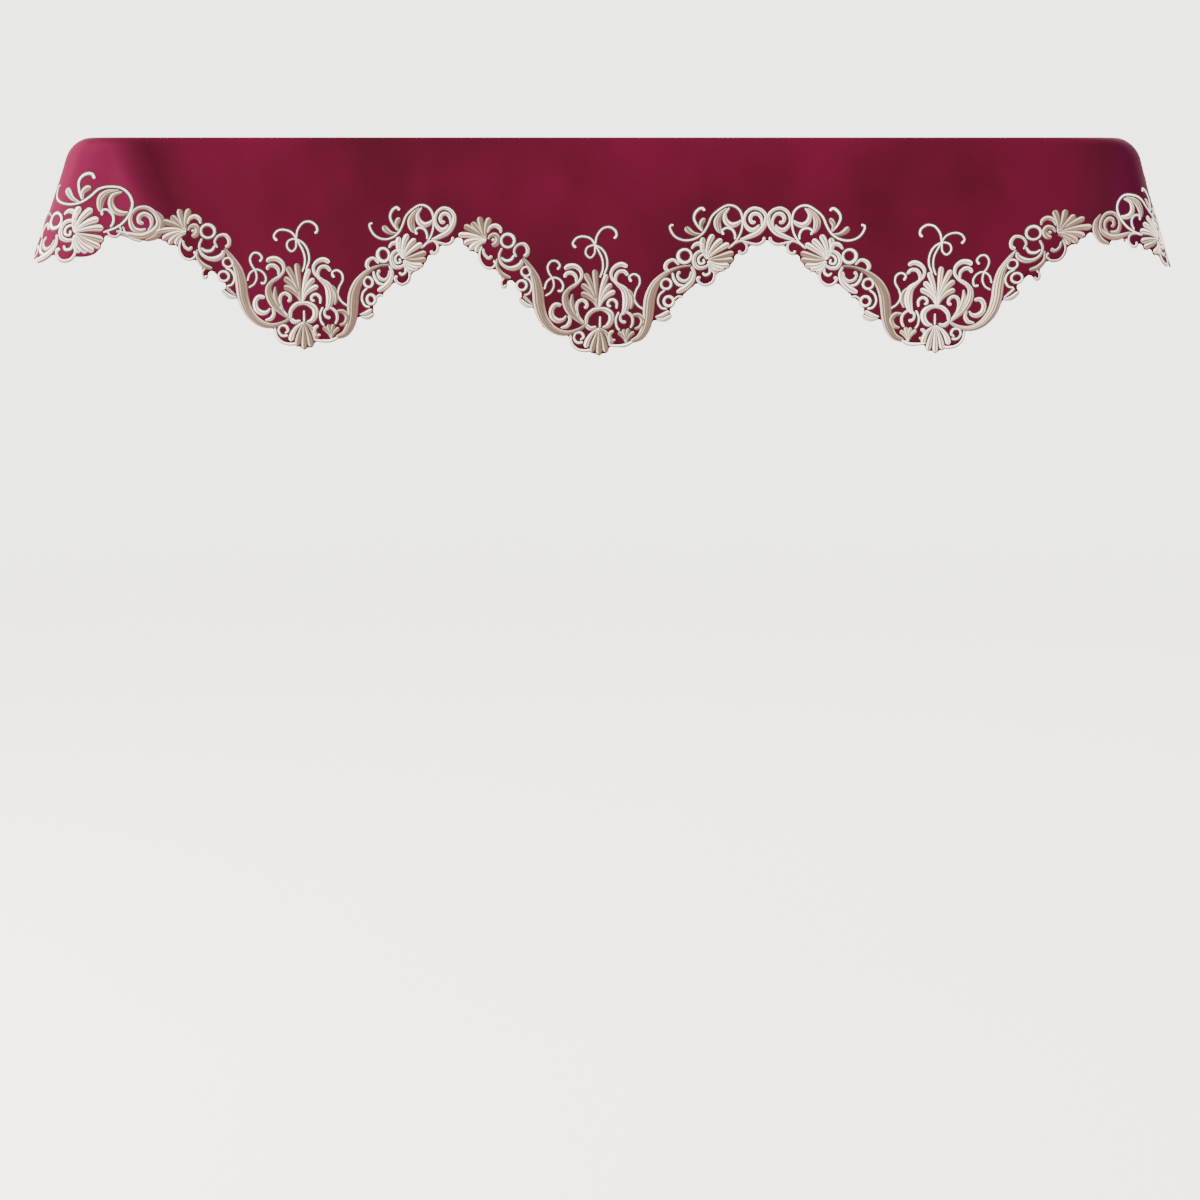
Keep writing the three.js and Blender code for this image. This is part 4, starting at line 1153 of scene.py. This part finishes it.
# %% Shared effects: rows of stitches
def stitched_thread_group():
    """The colour and the relief of satin stitch, from the attributes that the tree left, with
    painted shade on the side away from the light and in the grooves.
    """
    tree, given, result = new_group(
        "ShaderNodeTree", "stitched_thread",
        [("Light", COLOR, (1, 1, 1, 1)), ("Shade", COLOR, (0.5, 0.5, 0.5, 1)),
         ("Deep", COLOR, (0.2, 0.1, 0.1, 1)), ("Stitch pitch", FLOAT, 0.55),
         ("Groove", FLOAT, 0.8), ("Sides", FLOAT, 0.7), ("Far side", FLOAT, 0.6)],
        [("Color", COLOR, None), ("Height", FLOAT, None)])

    def read(name):
        return wire(tree, "ShaderNodeAttribute", attribute_name=name,
                    attribute_type="GEOMETRY").outputs["Fac"]

    def wave_of(turns, phase):
        wave = maths(tree, phase, maths(tree, "MULTIPLY", turns, 2 * math.pi))
        return maths(tree, "MULTIPLY_ADD", wave, 0.5, 0.5)

    across, along, ridges, tone = read("across"), read("along"), read("ridges"), read("tone")
    # Painted shade: the side turned away from the light is painted in the darker shade.
    away = maths(tree, "MULTIPLY", maths(tree, "MULTIPLY", across, read("lit_side")), -1.0)
    away = maths(tree, "MULTIPLY", maths(tree, "ADD", away, 0.2, clamp=True), given["Far side"])
    # Painted shade: the grooves between ridges are painted darkest. The edges of every stroke stay
    # light.
    turns = maths(tree, "MULTIPLY", maths(tree, "ADD", across, 1.0),
                  maths(tree, "MULTIPLY", ridges, 0.5))
    valley = maths(tree, "POWER", wave_of(turns, "COSINE"), 2.2)
    is_ridged = maths(tree, "GREATER_THAN", ridges, 1.5)
    groove = maths(tree, "MULTIPLY", maths(tree, "MULTIPLY", valley, is_ridged), given["Groove"])
    off_middle = maths(tree, "ABSOLUTE", across)
    middle = maths(tree, "SUBTRACT", 1.0, maths(tree, "POWER", off_middle, 3.0))
    body = maths(tree, "MULTIPLY", maths(tree, "MULTIPLY", middle, tone), 0.8)
    slant = maths(tree, "MULTIPLY", across, 0.8)
    rows = maths(tree, "DIVIDE", maths(tree, "ADD", along, slant), given["Stitch pitch"])
    stitch = wave_of(rows, "SINE")
    hollow = maths(tree, "MULTIPLY", maths(tree, "MULTIPLY", groove, middle),
                   maths(tree, "ADD", maths(tree, "MULTIPLY", tone, 0.5), 0.6))
    shade = maths(tree, "SUBTRACT", maths(tree, "ADD", maths(tree, "ADD", body, hollow), away),
                  maths(tree, "MULTIPLY", stitch, 0.12), clamp=True)
    # The sides of a stroke, where it meets the cloth, catch little light.
    side = maths(tree, "POWER", off_middle, 5.0)
    side = maths(tree, "MULTIPLY", side, given["Sides"], clamp=True)
    worked = blend(tree, shade, given["Light"], given["Shade"])
    tree.links.new(blend(tree, side, worked, given["Deep"]), result["Color"])
    tree.links.new(stitch, result["Height"])
    return tree


thread_effect = stitched_thread_group()
print("Stitched thread:", len(thread_effect.nodes), "nodes")


# %% Helpers for materials
def srgb(red, green, blue):
    """A colour given as 0-255 screen values, made linear for the shader."""
    return tuple(c / 12.92 if c <= 0.04045 else ((c + 0.055) / 1.055) ** 2.4
                 for c in (red / 255, green / 255, blue / 255)) + (1.0,)


def new_material(name, **sockets):
    """A material with one Principled shader, and plain values on its own sockets.

    A socket's name is given with _ for its spaces."""
    made = bpy.data.materials.new(name)
    made.use_nodes = True
    shader = made.node_tree.nodes["Principled BSDF"]
    for socket, value in sockets.items():
        shader.inputs[socket.replace("_", " ")].default_value = value
    return made, made.node_tree, shader


def group_node(tree, group_tree, **values):
    """Places a shared effect in a material, with this material's own values."""
    node = tree.nodes.new("ShaderNodeGroup")
    node.node_tree = group_tree
    for name, value in values.items():
        socket = node.inputs[name.replace("_", " ")]
        if isinstance(value, bpy.types.NodeSocket):
            tree.links.new(value, socket)
        else:
            socket.default_value = value
    return node


def bump(tree, shader, height, strength, distance):
    """Fine relief that is too small for geometry. The distance is in metres."""
    normal = wire(tree, "ShaderNodeBump", ("Height", height), ("Strength", strength),
                  ("Distance", distance))
    tree.links.new(normal, shader.inputs["Normal"])


# %% The threads
STITCH_RELIEF = 0.00012


def thread_material(name, light, shade, groove, roughness):
    """Thread in one colour, lighter and darker along its stitches."""
    made, tree, shader = new_material(name, Roughness=roughness, Sheen_Weight=0.25,
                                      Sheen_Roughness=0.4, Specular_IOR_Level=0.4)
    effect = group_node(tree, thread_effect, Light=light, Shade=shade, Deep=srgb(84, 30, 34),
                        Stitch_pitch=0.6, Groove=groove, Sides=0.9, Far_side=0.95)
    cloudy = group_node(tree, mottle, Scale=45.0, Dark=(0.82, 0.8, 0.78, 1), Light=(1, 1, 1, 1))
    tone = blend(tree, 1.0, effect.outputs["Color"], cloudy.outputs["Color"], "MULTIPLY")
    tree.links.new(tone, shader.inputs["Base Color"])
    bump(tree, shader, effect.outputs["Height"], strength=0.5, distance=STITCH_RELIEF)
    return made


ivory_thread = thread_material("ivory_thread", srgb(248, 237, 223), srgb(88, 61, 41), 1.4, 0.42)
tan_thread = thread_material("tan_thread", srgb(234, 219, 194), srgb(72, 51, 31), 1.8, 0.45)
# A near-black thread paints the shadow round each stroke.
stitch_shadow_thread = thread_material("stitch_shadow_thread", srgb(9, 0, 2), srgb(5, 0, 1), 0.3, 0.8)
print("Threads:", [thread.name for thread in (ivory_thread, tan_thread, stitch_shadow_thread)])


# %% Where light and shade are painted on the satin
# The satin is painted lighter and darker where it turns towards and away from the light. Each row
# is a place along the front, the tone there, and how much of it shows: a painted rose highlight on
# the left corner, painted shade in a deep fold beside it, and painted shade by the right corner.
PAINTED_ROSE_HIGHLIGHT, PAINTED_FOLD_SHADE, WINE, PAINTED_PLUM_SHADE = srgb(80, 17, 41), srgb(34, 4, 12), srgb(54, 6, 24), srgb(43, 3, 23)
painted_light_tones = [
    (-0.70, PAINTED_ROSE_HIGHLIGHT, 0.8), (-0.585, PAINTED_ROSE_HIGHLIGHT, 0.9), (-0.541, PAINTED_FOLD_SHADE, 0.5), (-0.47, WINE, 0),
    (0.48, WINE, 0), (0.585, PAINTED_FOLD_SHADE, 0.75), (0.612, PAINTED_PLUM_SHADE, 0.8), (0.70, PAINTED_PLUM_SHADE, 0.8),
]
# How far the rows of painted light reach from the middle, how the left tones slant below the top,
# the heights between which the painted light ends, and how far forward it begins and is full.
# Metres.
PAINTED_LIGHT = {"reach": 0.7, "slant": 0.42, "top": 0.04, "hanging": 0.03, "full": -0.1, "none": -0.02}


def painted_light_mask(tree, spot):
    """The painted highlight and shade tone, and its share, from where a point is on the cloth."""
    def fade(value, low, high, at_low, at_high):
        node = wire(tree, "ShaderNodeMapRange", ("Value", value), ("From Min", low),
                    ("From Max", high), ("To Min", at_low), ("To Max", at_high))
        return node.outputs["Result"]

    reach = PAINTED_LIGHT["reach"]
    is_left = maths(tree, "LESS_THAN", spot.outputs["X"], 0.0)
    on_left = maths(tree, "MULTIPLY", is_left, PAINTED_LIGHT["slant"])
    below = maths(tree, "SUBTRACT", spot.outputs["Z"], PAINTED_LIGHT["top"])
    slant = maths(tree, "ADD", spot.outputs["X"], maths(tree, "MULTIPLY", below, on_left))
    ramp = wire(tree, "ShaderNodeValToRGB", ("Fac", fade(slant, -reach, reach, 0.0, 1.0)))
    stops = ramp.color_ramp.elements
    while len(stops) < len(painted_light_tones):
        stops.new(0.5)
    for stop, (at, tone, share) in zip(stops, painted_light_tones):
        stop.position = (at + reach) / (2 * reach)
        stop.color = (*tone[:3], share)
    hanging = fade(spot.outputs["Z"], PAINTED_LIGHT["hanging"], PAINTED_LIGHT["top"], 1.0, 0.0)
    forward = fade(spot.outputs["Y"], PAINTED_LIGHT["full"], PAINTED_LIGHT["none"], 1.0, 0.0)
    in_place = maths(tree, "MULTIPLY", hanging, forward)
    return ramp.outputs["Color"], maths(tree, "MULTIPLY", ramp.outputs["Alpha"], in_place)


print("Tones along the front:", len(painted_light_tones))

# %% The satin
WEAVE = {"warp": 0.0009, "weft": 0.0007, "slope": 0.6, "relief": 0.00012}


def satin_material():
    """Burgundy satin: a fine weave, a slow mottle, and painted highlight and shade at the corners.
    """
    made, tree, shader = new_material("burgundy_satin_cloth", Sheen_Weight=0.045,
                                      Sheen_Roughness=0.45, Specular_IOR_Level=0.012)
    shader.inputs["Sheen Tint"].default_value = srgb(206, 40, 92)
    cloudy = group_node(tree, mottle, Scale=5.0, Dark=srgb(42, 6, 15), Light=srgb(62, 7, 26))
    place = wire(tree, "ShaderNodeTexCoord").outputs["Object"]
    spot = wire(tree, "ShaderNodeSeparateXYZ", ("Vector", place))
    # Painted light: a rose highlight on the left corner and shade in the folds, mixed over the
    # mottle.
    tone, share = painted_light_mask(tree, spot)
    tree.links.new(blend(tree, share, cloudy.outputs["Color"], tone), shader.inputs["Base Color"])
    # The two ways of the weave also run on along the ends and over the top.
    sloped = maths(tree, "MULTIPLY", spot.outputs["Y"], WEAVE["slope"])
    sideways = maths(tree, "ADD", spot.outputs["X"], sloped)
    downways = maths(tree, "SUBTRACT", spot.outputs["Z"], sloped)
    warp = maths(tree, "SINE", maths(tree, "MULTIPLY", sideways, 2 * math.pi / WEAVE["warp"]))
    weft = maths(tree, "SINE", maths(tree, "MULTIPLY", downways, 2 * math.pi / WEAVE["weft"]))
    weave = maths(tree, "ADD", warp, maths(tree, "MULTIPLY", weft, 0.6))
    fuzz = wire(tree, "ShaderNodeTexNoise", ("Vector", place), ("Scale", 900.0), ("Detail", 2.0))
    height = maths(tree, "ADD", maths(tree, "MULTIPLY", weave, 0.25), fuzz.outputs[0])
    bump(tree, shader, height, strength=0.35, distance=WEAVE["relief"])
    rough = maths(tree, "MULTIPLY_ADD", cloudy.outputs["Value"], -0.08, 0.58)
    tree.links.new(rough, shader.inputs["Roughness"])
    return made


satin = satin_material()
cloth.data.materials.append(satin)
print("The cloth is", cloth.data.materials[0].name)

# %% The paint on the board
PAINT_RELIEF = 0.0003


def paint_material():
    """White paint brushed over a faint wood grain."""
    made, tree, shader = new_material("white_paint_on_wood", Roughness=0.4, Specular_IOR_Level=0.5)
    cloudy = group_node(tree, mottle, Scale=7.0, Dark=srgb(228, 226, 220),
                        Light=srgb(240, 238, 233))
    place = wire(tree, "ShaderNodeTexCoord").outputs["Object"]
    stretched = wire(tree, "ShaderNodeMapping", ("Vector", place), ("Scale", (1.6, 26.0, 26.0)))
    grain = wire(tree, "ShaderNodeTexNoise", ("Vector", stretched), ("Scale", 6.0), ("Detail", 5.0))
    stipple = wire(tree, "ShaderNodeTexNoise", ("Vector", place), ("Scale", 600.0), ("Detail", 2.0))
    streak = blend(tree, maths(tree, "MULTIPLY", grain.outputs[0], 0.12), cloudy.outputs["Color"],
                   srgb(205, 200, 190))
    tree.links.new(streak, shader.inputs["Base Color"])
    height = maths(tree, "ADD", maths(tree, "MULTIPLY", grain.outputs[0], 0.8),
                   maths(tree, "MULTIPLY", stipple.outputs[0], 0.25))
    bump(tree, shader, height, strength=0.3, distance=PAINT_RELIEF)
    return made


paint = paint_material()
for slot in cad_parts["shelf_board"].material_slots:
    slot.material = paint
print("The board is", paint.name)

# %% Stitch the border
THREADS = {IVORY: ivory_thread, TAN: tan_thread}
# How much wider than its stroke the painted shadow line is, inside the cloth and at the cut edge,
# how far in from the cut it begins to widen and over what distance, and its section. Millimetres.
STITCH_SHADOW = {"wider": 1.5, "at_edge": 0.35, "clear": 1, "over": 0.8,
           "points": 5, "relief": 0.3, "through": 0.62}
# How much of its charted width a stroke keeps, for each number of ridges.
SLIM = {1: 0.8, 2: 0.94, 3: 0.96, 4: 0.98}


def is_front(stroke):
    """Whether a stroke is on the front, between the corners."""
    x, y, _ = stroke[2].mean(axis=0)
    return y < -corner_y - bend_start and abs(x) < corner_x


def slimmed(stroke):
    """The stroke as it is worked: a little narrower than the charted width the cloth is cut to."""
    thread, ridges, rows = stroke
    return thread, ridges, np.column_stack([rows[:, :2], rows[:, 2] * SLIM[ridges]])


def with_painted_shadow(stroke):
    """The painted shadow round a stroke: a wider, lower stroke in near-black thread. At the cut
    edge it narrows to a fine line.
    """
    thread, _, rows = stroke
    inside = depth_at(rows[:, 0], rows[:, 1]) * GRID["cell"]
    share = np.clip((inside - rows[:, 2] - STITCH_SHADOW["clear"]) / STITCH_SHADOW["over"], 0, 1)
    wider = STITCH_SHADOW["at_edge"] + (STITCH_SHADOW["wider"] - STITCH_SHADOW["at_edge"]) * share
    every_other = np.unique(np.append(np.arange(0, len(rows), 2), len(rows) - 1))
    return thread, 1, np.column_stack([rows[:, :2], rows[:, 2] + wider])[every_other]


embroidery = []
for thread, material in THREADS.items():
    for where, wanted in (("front", True), ("sides", False)):
        strokes = [slimmed(s) for s in STROKES if s[0] == thread and is_front(s) == wanted]
        embroidery.append(embroider(f"border_{thread}_{where}", strokes, material))
# Painted shadow: a near-black line round every stroke, where the cloth beside the stitching is in
# shade.
embroidery.append(embroider("border_painted_shadow", [with_painted_shadow(s) for s in STROKES], stitch_shadow_thread,
                            section=STITCH_SHADOW["points"], relief=STITCH_SHADOW["relief"],
                            deep=STITCH_SHADOW["through"]))

# %% [markdown]
# ## The hem at the back
# The straight back edge isn't embroidered. It is turned under and held by a row of machine
# stitches. A stitch is one small shape repeated at an even pitch, which is what instances on a
# curve are for: the tree spaces the points, puts a stitch on each, and makes them real.

# %% A row of stitches
HEM = {"from_edge": 7, "pitch": 3.6, "length": 2.6, "thick": 0.45}


def running_stitch_tree():
    """Puts one long bead of thread at every pitch along a line."""
    tree, given, result = new_group(
        "GeometryNodeTree", "running_stitch",
        [("Geometry", GEOMETRY, None), ("Pitch", FLOAT, HEM["pitch"]),
         ("Stitch length", FLOAT, HEM["length"]), ("Thread thickness", FLOAT, HEM["thick"]),
         ("Thread", MATERIAL, None)],
        [("Geometry", GEOMETRY, None)])
    line = wire(tree, "GeometryNodeMeshToCurve", ("Mesh", given["Geometry"]))
    dots = wire(tree, "GeometryNodeCurveToPoints", ("Curve", line), ("Length", given["Pitch"]),
                mode="LENGTH")
    radius = maths(tree, "MULTIPLY", given["Thread thickness"], 0.5)
    ball = wire(tree, "GeometryNodeMeshUVSphere", ("Segments", 8), ("Rings", 5), ("Radius", 1.0))
    half_length = maths(tree, "MULTIPLY", given["Stitch length"], 0.5)
    size = wire(tree, "ShaderNodeCombineXYZ", ("X", half_length), ("Y", radius), ("Z", radius))
    stitches = wire(tree, "GeometryNodeInstanceOnPoints", ("Points", dots.outputs["Points"]),
                    ("Instance", ball.outputs["Mesh"]), ("Scale", size))
    real = wire(tree, "GeometryNodeRealizeInstances", ("Geometry", stitches))
    real = wire(tree, "GeometryNodeSetShadeSmooth", ("Geometry", real))
    finished = wire(tree, "GeometryNodeSetMaterial", ("Geometry", real),
                    ("Material", given["Thread"]))
    tree.links.new(finished, result["Geometry"])
    return tree


hem_tree = running_stitch_tree()
print("Running stitch tree:", len(hem_tree.nodes), "nodes")

# %% The hem thread, and the row along the back edge
hem_thread, hem_nodes, hem_shader = new_material("burgundy_hem_thread", Roughness=0.5,
                                                 Sheen_Weight=0.3)
hem_tone = group_node(hem_nodes, mottle, Scale=60.0, Dark=srgb(96, 14, 34), Light=srgb(140, 34, 62))
hem_nodes.links.new(hem_tone.outputs["Color"], hem_shader.inputs["Base Color"])
hem_y = back_edge - HEM["from_edge"]
hem_reach = corner_x + bend_start + float(end_line["reach"][-1]) - HEM["from_edge"]
hem_line = bpy.data.meshes.new("hem_line")
hem_line.from_pydata([(-hem_reach, hem_y, 0), (hem_reach, hem_y, 0)], [(0, 1)], [])
hem_mesh = run_tree("hem_stitches", hem_line, hem_tree,
                    {"Pitch": HEM["pitch"], "Stitch length": HEM["length"],
                     "Thread thickness": HEM["thick"], "Thread": hem_thread})
laid_on_cloth(hem_mesh, half_thick)
hem = add_object("hem_stitches", hem_mesh)
print("Hem stitches, faces:", len(hem_mesh.polygons))

# %% [markdown]
# ## Studio
# A part is judged in a plain studio: a pale floor well below it that fades out into a pale world,
# a large soft light from the left, a weak one on the right and one behind. They could copy the
# light of a room, but then its reflections would be part of the picture. The camera stands level
# with the drop of the cloth and looks slightly down, so the cloth is high in the frame, and it is
# far enough away that the board's edges run almost parallel.

# %% The floor
PALE = srgb(244, 241, 236)
FLOOR = {"height": -1.05, "radius": 9.0, "sides": 96, "clear": 2.2, "gone": 6.5}
bpy.ops.mesh.primitive_circle_add(vertices=FLOOR["sides"], radius=FLOOR["radius"], fill_type="NGON",
                                  location=(0, 0, FLOOR["height"]))
floor = bpy.context.object
floor.name = "studio_floor"
floor_paint, floor_tree, floor_shader = new_material("pale_floor", Roughness=0.8)
floor_shader.inputs["Base Color"].default_value = PALE
floor_spot = wire(floor_tree, "ShaderNodeTexCoord").outputs["Object"]
distance = wire(floor_tree, "ShaderNodeVectorMath", (0, floor_spot), operation="LENGTH")
fade = wire(floor_tree, "ShaderNodeMapRange", ("Value", distance.outputs["Value"]),
            ("From Min", FLOOR["clear"]), ("From Max", FLOOR["gone"]), ("To Min", 1.0),
            ("To Max", 0.0))
floor_tree.links.new(fade.outputs["Result"], floor_shader.inputs["Alpha"])
floor.data.materials.append(floor_paint)
print("Floor at", FLOOR["height"], "m, faded out by", FLOOR["gone"], "m")

# %% World and lights
WORLD_STRENGTH = 4.2
world = bpy.data.worlds.new("pale_world")
world.use_nodes = True
background = world.node_tree.nodes["Background"]
background.inputs["Color"].default_value = PALE
background.inputs["Strength"].default_value = WORLD_STRENGTH
bpy.context.scene.world = world

# Each light's name, place, size in metres and power in watts. All face the origin.
LIGHTS = [
    ("key_light", (-3.4, -1.2, 0.9), 1.2, 420),
    ("fill_light", (2.4, -2.6, 0.5), 1.8, 9),
    ("back_light", (0.6, 2.6, 2.0), 1.6, 50),
]
for name, place, size, power in LIGHTS:
    lamp = bpy.data.lights.new(name, "AREA")
    lamp.size, lamp.energy = size, power
    lamp_object = add_object(name, lamp)
    lamp_object.location = place
    lamp_object.rotation_mode = "QUATERNION"
    lamp_object.rotation_quaternion = (-Vector(place)).to_track_quat("-Z", "Y")
print("Lights:", [light[0] for light in LIGHTS])

# %% Camera
CAMERA = {"place": (-0.0035, -3.930, -0.052), "down": 6.86, "lens": 95.9, "sensor": 36,
          "nearest": 0.05, "farthest": 60}
lens = bpy.data.cameras.new("camera")
lens.lens, lens.sensor_width = CAMERA["lens"], CAMERA["sensor"]
lens.clip_start, lens.clip_end = CAMERA["nearest"], CAMERA["farthest"]
camera = add_object("camera", lens)
camera.location = CAMERA["place"]
camera.rotation_euler = (math.radians(90 - CAMERA["down"]), 0, 0)
bpy.context.scene.camera = camera
print("Camera at", CAMERA["place"], "looking", CAMERA["down"], "degrees down")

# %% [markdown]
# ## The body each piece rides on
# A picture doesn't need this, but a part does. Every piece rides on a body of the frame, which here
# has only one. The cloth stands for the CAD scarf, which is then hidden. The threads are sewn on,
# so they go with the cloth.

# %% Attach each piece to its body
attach(cloth, "root")
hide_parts("scarf")
for piece in embroidery + [hem]:
    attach(piece, "root")
